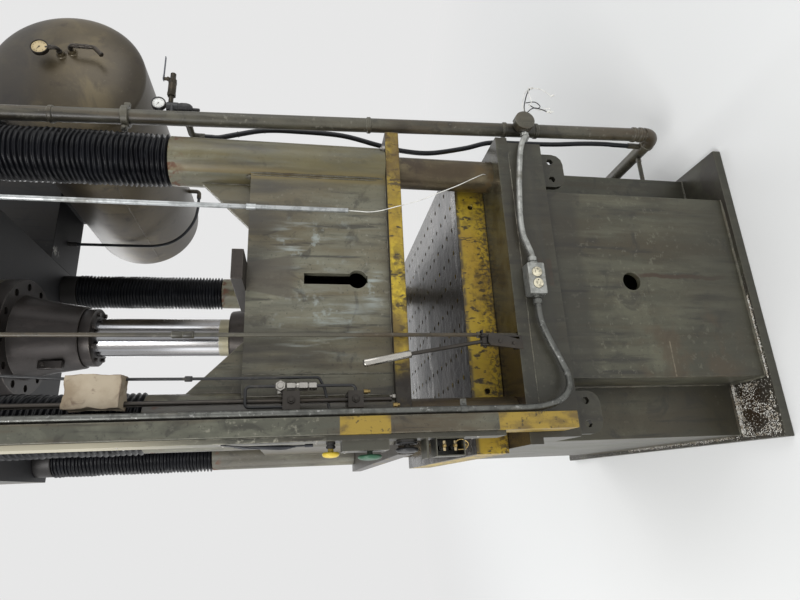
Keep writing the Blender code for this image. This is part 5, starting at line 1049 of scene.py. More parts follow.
def make_cylinder():
    """The main cylinder: flange with counterbored bolts, tapering barrel, bleed block and gland."""
    low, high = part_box("main_cylinder")
    flange_top, flange_low = 2.7450, 2.6850
    profile = [(0.0, 3.3350), (0.118, 3.3350), (0.118, 2.500), (GLAND_BORE, 2.500), (GLAND_BORE, low.z),
               (0.124, low.z),
               (0.1275, low.z + 0.004), (0.1335, low.z + 0.040), (0.1440, 2.571), (0.158, 2.632),
               (0.165, 2.668),
               (0.172, flange_low + 0.0005), (0.2335, flange_low), (0.2355, flange_low + 0.003),
               (0.2355, flange_top - 0.003), (0.2330, flange_top), (0.1895, flange_top),
               (0.1895, high.z - 0.004),
               (0.1855, high.z), (0.0, high.z)]
    body = lathe(bmesh.new(), profile, sides=96)
    bores, bolts = bmesh.new(), bmesh.new()
    circle = 0.204
    for angle in angles(12, 0.5):
        x, y = circle * math.cos(angle), circle * math.sin(angle)
        lathe(bores, plain_disc(0.0155, -0.010, 0.026), (x, y, flange_low), "Z", 24)
        socket = [(0.0, 0.0145), (0.0052, 0.0145), (0.0062, 0.0080), (0.0108, 0.0080), (0.0120, 0.0092),
                  (0.0120, 0.0260), (0.0, 0.0260)]
        lathe(bolts, socket, (x, y, flange_low), "Z", 24)
    dressed("main_cylinder", carved(body, [bores]), "casting", 36.0, weighted=True)
    new_piece("flange_bolts", bolts, "steel")
    work = bmesh.new()
    block(work, (-0.147, -0.095, 2.506), (-0.115, -0.065, 2.594), 0.004, 3)
    hexagon(work, (-0.131, -0.095, 2.575), "Y", 0.014, -0.006, 0.001)
    weld_bead(work, (-0.146, -0.094, 2.507), (-0.146, -0.094, 2.593), 0.003)
    new_piece("bleed_block", work, "casting")
    work = bmesh.new()
    low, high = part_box("cylinder_gland")
    lathe(work, [(GLAND_BORE, low.z), (0.112, low.z), (0.119, low.z + 0.005), (0.1195, high.z - 0.004),
                 (0.117, high.z), (GLAND_BORE, high.z)], sides=96)
    bolt_circle(work, 0.100, 8, 0.25, 0.016, low.z - 0.009, low.z + 0.002)
    dressed("cylinder_gland", work, "casting", 36.0)


# The slide and what moves with it

def make_slide():
    refined("platen", "platen", "slide", 0.0025)
    refined("slide_box", "slide", "slide", 0.0022)
    refined("stop_bar", "flange", "slide", 0.0022)
    for name, x, y in CORNERS:
        node = "guide_sleeve_" + name
        low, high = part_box(node)
        work = lathe(bmesh.new(), soft_ring(SLEEVE_BORE, SLEEVE_RADIUS, low.z, high.z, 0.002), (x, y, 0.0), "Z",
                     80)
        dressed(node, work, "slide", body="slide", weighted=True)
    slide_welds()
    make_ram()


def slide_welds():
    """Beads between the slide box and its sleeves and gussets, and round the stop bar."""
    top, foot = SLIDE_BOX_TOP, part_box("slide_box")[0].z
    work = bmesh.new()
    around, gusset, half = 0.083, 0.160, 0.010
    front_reach = math.sqrt(around ** 2 - (SLIDE_BOX_FRONT - COLUMN_Y) ** 2)
    side_reach = math.sqrt(around ** 2 - (SLIDE_BOX_SIDE - COLUMN_X) ** 2)
    for sx in (-1, 1):
        for sy in (-1, 1):
            x, y = sx * COLUMN_X, sy * COLUMN_Y
            # The sleeve cuts the box's front and side plates along these two upright lines
            for place in ((x - sx * front_reach, sy * SLIDE_BOX_FRONT),
                          (sx * SLIDE_BOX_SIDE, y - sy * side_reach)):
                weld_bead(work, (*place, foot + 0.01), (*place, top), 0.0042)
            inner = x - sx * 0.0825
            for edge in (-half, half):
                weld_bead(work, (inner, y + edge, top + 0.002), (inner, y + edge, top + gusset), 0.0032)
                weld_bead(work, (inner, y + edge, top), (inner - sx * gusset, y + edge, top), 0.0032)
    # The stop bar's foot, and the box's lower front edge
    for x in (0.0055 - 0.0475, 0.0055 + 0.0475):
        weld_bead(work, (x, -0.722, top + 0.001), (x, -0.505, top + 0.001), 0.0035)
    for x in (-0.455, 0.455):
        weld_bead(work, (x * 0.72, -0.7285, foot + 0.0012), (x * 0.2, -0.7285, foot + 0.0012), 0.0022)
    new_piece("slide_welds", work, "weld", "slide")


def make_ram():
    low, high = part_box("ram_flange")
    work = lathe(bmesh.new(), [(0.0, low.z), (0.128, low.z), (0.1295, low.z + 0.002), (0.1295, low.z + 0.046),
            (0.124, low.z + 0.050), (0.120, low.z + 0.054), (0.112, high.z - 0.006), (0.106, high.z),
            (0.0, high.z)], sides=96)
    bolt_circle(work, 0.1175, 8, 0.5, 0.017, low.z + 0.046, low.z + 0.062)
    dressed("ram_flange", work, "flange", 36.0, body="slide")
    low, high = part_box("ram")
    work = lathe(bmesh.new(), soft_disc(RAM_RADIUS, low.z, high.z, 0.002), sides=96)
    dressed("ram", work, "chrome", 30.0, body="slide", weighted=True)


def bellows_profile(folds):
    """The outer line of a pleated sleeve: sharp wire rings between slack cloth."""
    per_fold = 6
    pitch = (BELLOWS_HIGH - BELLOWS_LOW) / folds
    root, crest = 0.0760, 0.0885
    points = []
    for i in range(folds * per_fold + 1):
        t = (i % per_fold) / per_fold
        swell = 0.5 - 0.5 * math.cos(2 * math.pi * t)
        points.append((root + (crest - root) * swell ** 2.2,
                       BELLOWS_LOW + 0.0004 + (pitch * folds - 0.0008) * i /
                       (folds * per_fold)))
    return points


def make_bellows():
    """Each pleated sleeve is a mesh of its own."""
    folds, sides, bore = 46, 64, 0.0625
    profile = bellows_profile(folds)
    for name, x, y in CORNERS:
        work = bmesh.new()
        rings = []
        for radius, z in [(bore, profile[0][1]), *profile, (bore, profile[-1][1])]:
            ends = min(1.0, (z - BELLOWS_LOW) * 12.0, (BELLOWS_HIGH - z) * 12.0)
            ring = []
            for a in angles(sides):
                around = Vector((x + 0.05 * math.cos(a), y + 0.05 * math.sin(a), z))
                slack = noise.noise(around * 9.0) * 0.0030 + noise.noise(around * 38.0) * 0.0022
                lift = (noise.noise(around * 7.0 + Vector((5, 5, 5))) * 0.009
                        + noise.noise(around * 30.0) * 0.0035) * ends
                r, rise = (radius, 0.0) if radius == bore else (radius + slack, lift)
                ring.append(work.verts.new((x + r * math.cos(a), y + r * math.sin(a), z + rise)))
            rings.append(ring)
        skin(work, rings, closed=True)
        made = new_piece("bellows_%s_cloth" % name, work, "bellows", None, ("bellows_" + name,),
                180.0)
        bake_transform(made)


# Air system

def pipe_x(z):
    (top_x, top_z), (foot_x, foot_z) = PIPE_TOP, PIPE_FOOT
    return foot_x + (top_x - foot_x) * (z - foot_z) / (top_z - foot_z)


def collar_on(work, point, direction, radius, length, lip=0.003):
    """A fitting's band round a pipe."""
    lathe(work, [(radius * 0.5, -length / 2), (radius - lip, -length / 2), (radius, -length / 2 + lip),
                 (radius, length / 2 - lip), (radius - lip, length / 2), (radius * 0.5, length / 2)], point,
                 direction,
          40)


def make_tank():
    """The welded vessel with elliptical heads, seam beads, bosses and the hose's elbow."""
    steps = 16
    arc = [math.pi / 2 * i / steps for i in range(steps + 1)]
    front = [(TANK_RADIUS * math.sin(a), TANK_FRONT - TANK_DISH * math.cos(a)) for a in arc]
    back = [(TANK_RADIUS * math.cos(a), TANK_BACK + TANK_DISH * math.sin(a)) for a in arc]
    front[0], back[-1] = (0.0, front[0][1]), (0.0, back[-1][1])
    work = lathe(bmesh.new(), front + back, (TANK_X, 0.0, TANK_Z), "Y", 128)
    seam = 0.045
    for y in (TANK_FRONT + seam, TANK_BACK - seam):
        weld_ring(work, (TANK_X, y, TANK_Z), TANK_RADIUS - 0.0022, 0.0022, "Y")
    angle = math.radians(200)
    along_x, along_z = TANK_X + TANK_RADIUS * math.cos(angle), TANK_Z + TANK_RADIUS * math.sin(angle)
    weld_bead(work, (along_x, TANK_FRONT + seam, along_z), (along_x, TANK_BACK - seam, along_z), 0.004, 0.012)
    # Bosses for the gauge and the cock
    for x, z in (GAUGE_BOSS, COCK_BOSS):
        bulge = math.sqrt(1.0 - (math.hypot(x, z) / TANK_RADIUS) ** 2)
        face = TANK_FRONT - TANK_DISH * bulge - BOSS_HEIGHT
        lathe(work, [(0.0, -0.030), (0.021, -0.018), (0.0152, -0.012), (0.0148, -0.002), (0.0138, 0.0),
                     (0.0, 0.0)], (TANK_X + x, face, TANK_Z + z), TO_FRONT, 28)
    hose_x, hose_y, hose_z = TANK_HOSE_ROUTE[-1]
    elbow_x = hose_x + 0.045
    sweep(work, bent_path([(elbow_x, hose_y, TANK_Z - 0.20), (elbow_x, hose_y, hose_z),
            (hose_x + 0.0005, hose_y, hose_z)], 0.018, 8), 0.0115, 24)
    hexagon(work, (hose_x + 0.010, hose_y, hose_z), "X", 0.022, -0.008, 0.010)
    dressed("air_tank", work, "tank")
    for name in ("outrigger_front", "outrigger_rear"):
        refined(name, "beam", width=0.0025)
    tank_gauge()
    low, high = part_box("tank_cock")
    x, z = TANK_X + COCK_BOSS[0], TANK_Z + COCK_BOSS[1]
    route = bent_path([(x, high.y, z), (x, low.y + 0.0095, z), (x, low.y + 0.0095, z - 0.090),
            (x - 0.035, low.y + 0.0095, z - 0.125)], 0.018, 8)
    work = sweep(bmesh.new(), route, 0.0078, 20)
    for point, axis in (((x, high.y - 0.008, z), "Y"), ((x, low.y + 0.0095, z - 0.030), "Z"),
                        ((x, low.y + 0.0095, z - 0.066), "Z")):
        hexagon(work, point, axis, 0.0165, -0.007, 0.007)
    sweep(work, finely([(x, low.y + 0.0095, z - 0.058), (x, low.y + 0.0095, z - 0.038)], 0.004), 0.0085, 20)
    collar_on(work, (x - 0.031, low.y + 0.0095, z - 0.121), (1.0, 0.0, 1.0), 0.0093, 0.008, 0.001)
    dressed("tank_cock", work, "steel")


def spoke_and_side(angle):
    return Vector((math.cos(angle), math.sin(angle), 0)), Vector((-math.sin(angle), math.cos(angle), 0))


def dial_marks(work, place, direction, radius):
    """Raised tick marks and a pointer on a dial's face."""
    turn = Matrix.Translation(place) @ turn_for(direction)
    count = 28
    for i in range(count):
        angle = math.radians(225 - 270 * i / (count - 1))
        long_mark = i % 3 == 0
        inner, outer = radius * (0.68 if long_mark else 0.78), radius * 0.88
        width = radius * (0.016 if long_mark else 0.009)
        spoke, side = spoke_and_side(angle)
        flat = [work.verts.new(turn @ (spoke * r + side * s + Vector((0, 0, 0.0004))))
                for r, s in ((inner, -width), (outer, -width), (outer, width), (inner, width))]
        work.faces.new(flat)
    angle = math.radians(150)
    spoke, side = spoke_and_side(angle)
    tip = [spoke * radius * 0.74, side * radius * 0.05, -spoke * radius * 0.2, -side * radius * 0.05]
    work.faces.new([work.verts.new(turn @ (p + Vector((0, 0, 0.0010)))) for p in tip])
    lathe(work, [(0.0, 0.0), (radius * 0.09, 0.0), (radius * 0.09, 0.0012), (0.0, 0.0016)], place, direction,
          16)
    bmesh.ops.solidify(work, geom=[f for f in work.faces if len(f.verts) == 4 and f.calc_area() < 1e-5][:count],
                       thickness=0.0002)
    return work


def tank_gauge():
    """The vessel's gauge, on an elbow from its boss."""
    low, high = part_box("tank_gauge")
    boss_x, boss_z = TANK_X + GAUGE_BOSS[0], TANK_Z + GAUGE_BOSS[1]
    x, z = boss_x + GAUGE_SHIFT[0], boss_z + GAUGE_SHIFT[1]
    dial, radius, out = low.y, 0.0328, TO_FRONT
    depth, middle = 2 * GAUGE_HALF_DEPTH, low.y + GAUGE_HALF_DEPTH
    work = lathe(bmesh.new(), [(0.0, 0.0), (radius - 0.005, 0.0), (radius - 0.001, 0.003),
            (radius - 0.001, depth - 0.005), (radius, depth - 0.004), (radius, depth - 0.001),
            (radius - 0.002, depth), (radius - 0.004, depth - 0.0012), (radius - 0.0045, depth - 0.0040),
            (0.0, depth - 0.0040)], (x, dial + depth, z), out, 64)
    stem = bent_path([(boss_x, high.y, boss_z), (boss_x, middle, boss_z), (x, middle, z - 0.020)], 0.018, 8)
    sweep(work, stem, 0.0078, 24)
    along = Vector((GAUGE_SHIFT[0], 0.0, GAUGE_SHIFT[1])).normalized()
    hexagon(work, Vector((x, middle, z)) - along * 0.034, along, 0.0170, -0.006, 0.004)
    hexagon(work, (boss_x, high.y, boss_z), out, 0.0190, 0.001, 0.010)
    new_piece("tank_gauge_case", work, "steel", "frame", ("tank_gauge",), 36.0)
    face = dial + 0.0036
    work = lathe(bmesh.new(), [(0.0, -0.001), (radius - 0.0048, -0.001), (radius - 0.0048, 0.0), (0.0, 0.0003)],
                 (x, face, z), out, 48)
    new_piece("tank_gauge_face", work, "cream")
    new_piece("tank_gauge_marks", dial_marks(bmesh.new(), (x, face - 0.0004, z), out, radius - 0.005), "black")


def make_air_pipe():
    """The leaning pipe with its elbows and bands, the clamp, the hose's fittings and the thin branch."""
    foot_x = pipe_x(PIPE_FOOT_Z)
    wall = 0.5183
    corners = [(PIPE_TOP[0], PIPE_Y, PIPE_TOP[1]), (foot_x, PIPE_Y, PIPE_FOOT_Z),
               (foot_x, PIPE_RETURN_Y, PIPE_FOOT_Z), (wall, PIPE_RETURN_Y, PIPE_FOOT_Z)]
    work = sweep(bmesh.new(), bent_path(corners, 0.055, 14), PIPE_RADIUS - 0.0015, 40)
    down = Vector((foot_x - PIPE_TOP[0], 0.0, PIPE_FOOT_Z - PIPE_TOP[1])).normalized()
    bend = [Vector(p) for p in bent_path(corners[:3], 0.055, 14)[1:-1]]
    sweep(work, bend, PIPE_RADIUS + 0.0012, 40)
    bend = [Vector(p) for p in bent_path(corners[1:], 0.055, 14)[1:-1]]
    sweep(work, bend, PIPE_RADIUS + 0.0012, 40)
    for z in (PIPE_FOOT_Z + 0.072, PIPE_FOOT_Z + 0.100, 0.836, 0.708, 1.360, 2.420):
        collar_on(work, (pipe_x(z), PIPE_Y, z), down, PIPE_RADIUS + 0.0025, 0.016)
    for y in (PIPE_Y + 0.062, PIPE_RETURN_Y - 0.062):
        collar_on(work, (foot_x, y, PIPE_FOOT_Z), "Y", PIPE_RADIUS + 0.0028, 0.014)
    collar_on(work, (wall + 0.010, PIPE_RETURN_Y, PIPE_FOOT_Z), "X", PIPE_RADIUS + 0.006, 0.018)
    # The clamp: a band with two ears and a bolt
    z = 2.190
    collar_on(work, (pipe_x(z), PIPE_Y, z), down, 0.0375, 0.024)
    for side in (-1, 1):
        block(work, (pipe_x(z) + side * 0.045 - 0.010, PIPE_Y - 0.006, z - 0.010),
              (pipe_x(z) + side * 0.045 + 0.010, PIPE_Y + 0.006, z + 0.010), 0.002)
    hexagon(work, (pipe_x(z) - 0.047, PIPE_Y, z), "Y", 0.013, -0.013, 0.013)
    # The hose's upper tee and lower fitting, and the branch
    x, y, z = HOSE_ROUTE[0]
    top = z + 0.045
    sweep(work, bent_path([(x, PIPE_Y, top), (x, y, top), (x, y, z + 0.0005)], 0.018, 8), 0.0115, 24)
    hexagon(work, (x, y, z), "Z", 0.0215, 0.001, 0.016)
    hexagon(work, (x, PIPE_Y + 0.036, top), "Y", 0.0230, -0.010, 0.010)
    y, z = HOSE_ROUTE[-1][1:]
    lathe(work, soft_disc(0.0115, PIPE_FOOT_Z, z - 0.0005), (foot_x, y, 0.0), "Z", 24)
    hexagon(work, (foot_x, y, 0.0), "Z", 0.0215, z - 0.030, z - 0.012)
    sweep(work, finely([(foot_x, -0.550, PIPE_FOOT_Z), (wall + 0.001, -0.550, PIPE_FOOT_Z)], 0.02), 0.0088, 20)
    hexagon(work, (foot_x - 0.035, -0.550, PIPE_FOOT_Z), "X", 0.0185, -0.008, 0.008)
    dressed("air_pipe", work, "pipe")
    make_junction()


def make_junction():
    """The round cast junction box on the pipe, with its screwed cover and hubs."""
    low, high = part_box("junction_body")
    x, z = (low.x + high.x) / 2, (low.z + high.z) / 2
    front, back = low.y, high.y
    out = TO_FRONT
    depth = back - front
    work = lathe(bmesh.new(), [(0.0, 0.0), (0.030, 0.0), (0.0345, 0.004), (0.0352, 0.012),
            (0.0352, depth - 0.010), (0.0358, depth - 0.006), (0.0358, depth), (0.0, depth)], (x, back, z), out,
            64)
    hub = (x - 0.0345, (front + back) / 2, z)
    collar_on(work, (hub[0] - 0.001, hub[1], hub[2]), "X", 0.0155, 0.010, 0.002)
    for angle in (60, 240):
        a = math.radians(angle)
        lathe(work, soft_disc(0.006, 0.004, depth - 0.001), (x + 0.0325 * math.cos(a), back,
                z + 0.0325 * math.sin(a)), out, 16)
    dressed("junction_body", work, "pipe")
    low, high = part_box("junction_cover")
    thick = high.y - low.y
    work = lathe(bmesh.new(), [(0.0, 0.0), (0.0362, 0.0), (0.0378, 0.0015), (0.0378, 0.0042), (0.0345, 0.0058),
            (0.0300, 0.0062), (0.0280, thick - 0.0005), (0.0, thick)], (x, high.y, z), out, 64)
    for angle in (60, 240):
        a = math.radians(angle)
        lathe(work, [(0.0, 0.004), (0.0042, 0.004), (0.0040, 0.0066), (0.0020, 0.0076), (0.0, 0.0078)],
              (x + 0.0325 * math.cos(a), high.y, z + 0.0325 * math.sin(a)), out, 16)
    dressed("junction_cover", work, "pipe", 36.0)


def make_regulator():
    """The regulator bowl, its gauge and the ball valve with its lever."""
    x, y, base, top = REGULATOR_X, REGULATOR_Y, REGULATOR_LOW, REGULATOR_TOP
    work = lathe(bmesh.new(), [(0.0, base - 0.025), (0.0045, base - 0.025), (0.0058, base - 0.021),
            (0.0058, base - 0.002), (0.012, base), (0.018, base + 0.007), (0.0205, base + 0.016),
            (0.0205, base + 0.040), (0.0190, base + 0.042), (0.0190, base + 0.045), (0.0208, base + 0.047),
            (0.0208, top - 0.002), (0.0190, top), (0.0, top)], (x, y, 0.0), "Z", 40)
    nipple_y = (y + PIPE_Y) / 2
    start = pipe_x(top - 0.020) + 0.0255
    lathe(work, soft_disc(0.0078, 0.0, x - start), (start, nipple_y, top - 0.020), "X", 24)
    for a in angles(12):
        block(work, (x + 0.0196 * math.cos(a) - 0.0012, y + 0.0196 * math.sin(a) - 0.0012, base + 0.018),
              (x + 0.0196 * math.cos(a) + 0.0012, y + 0.0196 * math.sin(a) + 0.0012, base + 0.038), 0.0004, 1)
    dressed("regulator", work, "black")
    line_gauge()
    low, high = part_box("ball_valve")
    z, start, end = top - 0.010, low.x, high.x
    work = lathe(bmesh.new(), [(0.0, 0.0), (0.0082, 0.0), (0.0082, 0.028), (0.0118, 0.030), (0.0138, 0.036),
            (0.0138, end - start - 0.026), (0.0110, end - start - 0.022), (0.0098, end - start - 0.020),
            (0.0098, end - start), (0.0, end - start)], (start, y, z), "X", 32)
    for offset in (0.036, end - start - 0.036):
        hexagon(work, (start + offset, y, z), "X", 0.0262, -0.007, 0.007)
    lathe(work, soft_disc(0.0058, 0.0, 0.030), (VALVE_STEM_X, y, z), "Z", 20)
    hexagon(work, (VALVE_STEM_X, y, z), "Z", 0.0150, 0.012, 0.020)
    dressed("ball_valve", work, "bronze", 36.0)
    low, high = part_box("valve_lever")
    work = block(bmesh.new(), (low.x + 0.012, low.y + 0.0015, low.z),
                 (high.x - 0.004, high.y - 0.0015, high.z - 0.001),
                 0.0008)
    block(work, (low.x, low.y, low.z), (low.x + 0.020, high.y, high.z - 0.0006), 0.0012)
    hexagon(work, (VALVE_STEM_X, y, 0.0), "Z", 0.010, high.z - 0.0010, high.z)
    dressed("valve_lever", work, "lever", 36.0, body="valve_handle")


def line_gauge():
    low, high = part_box("line_gauge")
    x, z = (low.x + high.x) / 2, (low.z + high.z) / 2
    depth, out = high.y - low.y, TO_FRONT
    radius = (high.z - low.z) / 2
    work = lathe(bmesh.new(), [(0.0, 0.0), (radius - 0.004, 0.0), (radius - 0.001, 0.003),
            (radius - 0.001, depth - 0.003), (radius - 0.002, depth), (radius - 0.005, depth - 0.0005),
            (radius - 0.0055, depth - 0.0035), (0.0, depth - 0.0035)], (x, high.y, z), out, 48)
    lathe(work, soft_disc(0.0052, 0.0, 0.010), (x, (low.y + high.y) / 2, low.z - 0.0035), "Z", 16)
    dressed("line_gauge", work, "black", 36.0)
    face = low.y + 0.0030
    work = lathe(bmesh.new(), [(0.0, -0.001), (radius - 0.0058, -0.001), (radius - 0.0058, 0.0), (0.0, 0.0002)],
                 (x, face, z), out, 40)
    new_piece("line_gauge_face", work, "white")
    new_piece("line_gauge_marks", dial_marks(bmesh.new(), (x, face - 0.0003, z), out, radius - 0.006), "black")


# Control side

def make_post():
    refined("control_post", "post", width=0.0022)
    refined("post_boxes", "raceway", width=0.0012)
    left_conduit()
    stations()


def left_conduit():
    """The galvanised conduit on the post, its strap, and the sweep to the outlet box."""
    top = 3.1453
    route = [(CONDUIT_X, CONDUIT_Y, 0.960), (-0.4360, -0.8600, 0.905), (-0.4200, -0.8480, 0.845),
             (-0.3860, -0.8300, 0.798), (-0.3400, -0.8140, 0.783), (-0.2850, -0.8060, 0.797),
             (-0.2250, OUTLET_Y, 0.822), (-0.1600, OUTLET_Y, 0.843), (-0.1080, OUTLET_Y, OUTLET_Z),
             (-0.0733, OUTLET_Y, OUTLET_Z)]
    path = finely([(CONDUIT_X, CONDUIT_Y, top), (CONDUIT_X, CONDUIT_Y, 0.970)], 0.05) + smooth_path(route,
            0.008)
    work = sweep(bmesh.new(), path, CONDUIT_RADIUS - 0.0003, 28)
    collar_on(work, (-0.094, OUTLET_Y, OUTLET_Z), "X", 0.0145, 0.016, 0.002)
    hexagon(work, (-0.0785, OUTLET_Y, OUTLET_Z), "X", 0.026, -0.003, 0.003, 0.0006)
    for z in (1.140, 2.450):
        lathe(work, soft_ring(CONDUIT_RADIUS - 0.001, CONDUIT_RADIUS + 0.0018, z - 0.010, z + 0.010, 0.0004),
              (CONDUIT_X, CONDUIT_Y, 0.0), "Z", 28)
    block(work, (CONDUIT_X, CONDUIT_Y - 0.0018, 1.131), (CONDUIT_X + 0.030, CONDUIT_Y + 0.0018, 1.149), 0.0006)
    hexagon(work, (CONDUIT_X + 0.021, CONDUIT_Y - 0.001, 1.140), "Y", 0.009, -0.005, 0.004, 0.0008)
    dressed("conduit_left", work, "darker_zinc")


def stations():
    """The three mushroom buttons, the round bases of two of them, and the boxes' screws."""
    cap_out = {"green_button": ("green", "green_push", "green_plastic"),
               "black_button": ("black", "black_push", "black_plastic"),
               "stop_button": ("yellow", "stop_push", "yellow_plastic")}
    for node, (finish, body, slot) in cap_out.items():
        low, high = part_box(node)
        y, z = (low.y + high.y) / 2, (low.z + high.z) / 2
        radius = (high.z - low.z) / 2
        long = high.x - low.x
        work = lathe(bmesh.new(), [(0.0, 0.0), (0.0078, 0.0), (0.0078, long - 0.0155),
                (0.84 * radius, long - 0.0150), (0.96 * radius, long - 0.0125), (0.995 * radius, long - 0.0100),
                (0.97 * radius, long - 0.0070), (0.86 * radius, long - 0.0040), (0.62 * radius, long - 0.0014),
                (0.30 * radius, long - 0.0003), (0.0, long)], (high.x, y, z), TO_LEFT, 56)
        dressed(node, work, finish, 50.0, body=body)
    for node in ("black_button_base", "stop_button_base"):
        low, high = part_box(node)
        y, z = (low.y + high.y) / 2, (low.z + high.z) / 2
        radius, long = (high.z - low.z) / 2, high.x - low.x
        work = lathe(bmesh.new(), [(0.0086, 0.0), (radius - 0.001, 0.0), (radius, 0.001), (radius, long * 0.35),
                (radius - 0.002, long * 0.40), (radius - 0.002, long * 0.55), (radius, long * 0.60),
                (radius, long - 0.002), (radius - 0.002, long), (0.0086, long)], (high.x, y, z), TO_LEFT, 40)
        dressed(node, work, "black", 36.0)
    work = bmesh.new()
    face = -0.5425
    for radius, x, sides, heights in (
            (0.0038, face + 0.0004, (STATION_Y - 0.030, STATION_Y + 0.030), (1.366, 1.472)),
            (0.0040, -0.5141, (-0.852, -0.792), (1.10, 1.55, 1.80, 2.05, 2.35, 2.65, 2.95))):
        for z in heights:
            for y in sides:
                lathe(work, [(0.0, 0.0), (radius, 0.0), (0.0036, 0.0014), (0.0018, 0.0022), (0.0, 0.0024)],
                      (x, y, z), TO_LEFT, 14)
    new_piece("station_screws", work, "bright")


def make_outlet():
    """The handy box with its duplex receptacle, and the conduit on to the junction box."""
    low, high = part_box("outlet_box")
    box_work = block(bmesh.new(), low, high, 0.006, 4)
    slots = bmesh.new()
    middle = ((low.x + high.x) / 2, low.y, (low.z + high.z) / 2)
    for side in (-1, 1):
        lathe(slots, plain_disc(0.0175, -0.01, 0.004), (middle[0] + side * 0.01945, middle[1], middle[2]), "Y",
              40)
    work = carved(box_work, [slots])
    for side in (-1, 1):
        lathe(work, [(0.0, 0.0), (0.0034, 0.0), (0.0034, 0.0010), (0.0018, 0.0018), (0.0, 0.0019)],
              (middle[0] + side * 0.0465, low.y + 0.0004, middle[2]), TO_FRONT, 16)
    collar_on(work, (low.x - 0.0006, (low.y + high.y) / 2, middle[2]), "X", 0.0150, 0.001, 0.0002)
    dressed("outlet_box", work, "zinc", 36.0)
    low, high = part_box("receptacle")
    face = low.y
    yoke = block(bmesh.new(), (low.x + 0.012, face + 0.0012, middle[2] - 0.006),
                 (high.x - 0.012, high.y, middle[2] + 0.006), 0.0006)
    for side in (-1, 1):
        lathe(yoke, [(0.0, 0.0), (0.0163, 0.0), (0.0163, 0.0036), (0.0156, 0.0046), (0.0, 0.0048)],
              (low.x + (high.x - low.x) * (0.5 + 0.5 * side) - side * 0.0165, face + 0.0048, middle[2]),
              TO_FRONT, 40)
    cuts = bmesh.new()
    for side in (-1, 1):
        x = middle[0] + side * 0.01945
        for offset, half in ((-0.0062, 0.0034), (0.0062, 0.0042)):
            block(cuts, (x - half, face - 0.002, middle[2] + offset - 0.0009),
                    (x + half, face + 0.0030, middle[2] + offset + 0.0009), 0.0)
        lathe(cuts, plain_disc(0.0024, -0.002, 0.0030), (x + 0.0105, face, middle[2]),
              "Y", 16)
    dressed("receptacle", carved(yoke, [cuts]), "ivory", 36.0)
    route = ((0.0343, OUTLET_Y, OUTLET_Z), (0.0523, OUTLET_Y, OUTLET_Z), (0.0703, OUTLET_Y, OUTLET_Z),
             (0.1050, OUTLET_Y, 0.8570), (0.1400, OUTLET_Y, 0.8670), (0.2000, OUTLET_Y, 0.8700),
             (0.3000, OUTLET_Y, 0.8620), (0.4100, OUTLET_Y, 0.8480), (0.4800, -0.8040, 0.8350),
             (0.5250, -0.7970, 0.8150), (0.5550, -0.7700, 0.7900), (0.5744, JUNCTION_Y, JUNCTION_Z),
             (0.5924, JUNCTION_Y, JUNCTION_Z), (0.6104, JUNCTION_Y, JUNCTION_Z))
    work = sweep(bmesh.new(), smooth_path(route, 0.008), CONDUIT_RADIUS - 0.0003, 28)
    collar_on(work, (0.052, OUTLET_Y, OUTLET_Z), "X", 0.0145, 0.018, 0.002)
    hexagon(work, (0.0385, OUTLET_Y, OUTLET_Z), "X", 0.026, -0.003, 0.003, 0.0006)
    hexagon(work, (0.596, JUNCTION_Y, JUNCTION_Z), "X", 0.026, -0.006, 0.006, 0.001)
    dressed("conduit_right", work, "zinc")


def make_hanging_conduit():
    low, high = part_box("hanging_conduit")
    x, y = 0.2030, -0.8100
    work = lathe(bmesh.new(), [(0.0052, low.z), (0.0072, low.z), (0.0076, low.z + 0.001), (0.0076, high.z),
            (0.0052, high.z)], (x, y, 0.0), "Z", 28)
    lathe(work, soft_disc(0.0051, low.z + 0.010, low.z + 0.012, 0.0002), (x, y, 0.0), "Z", 20)
    collar_on(work, (x, y, low.z + 0.30), "Z", 0.0098, 0.030, 0.001)
    clip_low, clip_high = 2.9253, 2.9603
    block(work, (x - 0.0076, y, clip_low), (x + 0.0076, high.y, clip_high), 0.0012)
    dressed("hanging_conduit", work, "galvanised")


def make_pilot_side():
    """The valves on their hanging pipe, the tubes with bright fittings, and the beige cover."""
    refined("pilot_valves", "steel", width=0.0012)
    work = bmesh.new()
    x, y = -0.3970, -0.8000
    for z, reach in ((1.620, 0.026), (1.440, 0.024)):
        for side in (-1, 1):
            hexagon(work, (x + side * reach * 0.5, y, z), "Z", 0.013, 0.020, 0.028)
        hexagon(work, (x, y, z), TO_FRONT, 0.020, 0.018, 0.026)
        lathe(work, soft_disc(0.006, 0.020, 0.032, 0.0008), (x, y, z), TO_FRONT, 20)
    new_piece("valve_hardware", work, "steel")
    low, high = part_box("pilot_tube")
    tube_x, tube_y = -0.3570, (low.y + high.y) / 2
    left, top, end_z = x - 0.018, 1.745, 1.440
    route = bent_path([(left, tube_y, 1.6443), (left, tube_y, top), (tube_x, tube_y, top),
            (tube_x, tube_y, end_z), (x + 0.0243, tube_y, end_z)], 0.012, 8)
    work = sweep(bmesh.new(), route, 0.0044, 20)
    dressed("pilot_tube", work, "black")
    work = bmesh.new()
    for z, low, high, across in ((1.621, -0.012, 0.012, 0.0225), (1.587, -0.012, 0.012, 0.0250),
                                 (1.560, -0.010, 0.012, 0.0235)):
        hexagon(work, (tube_x, tube_y, z), "Z", across, low, high)
    lathe(work, soft_disc(0.0080, 1.552, 1.630, 0.0005), (tube_x, tube_y, 0.0), "Z", 20)
    lathe(work, soft_disc(0.0100, 1.596, 1.606, 0.0005), (tube_x, tube_y, 0.0), "Z", 20)
    new_piece("tube_fittings", work, "bright")
    wiring_cover()


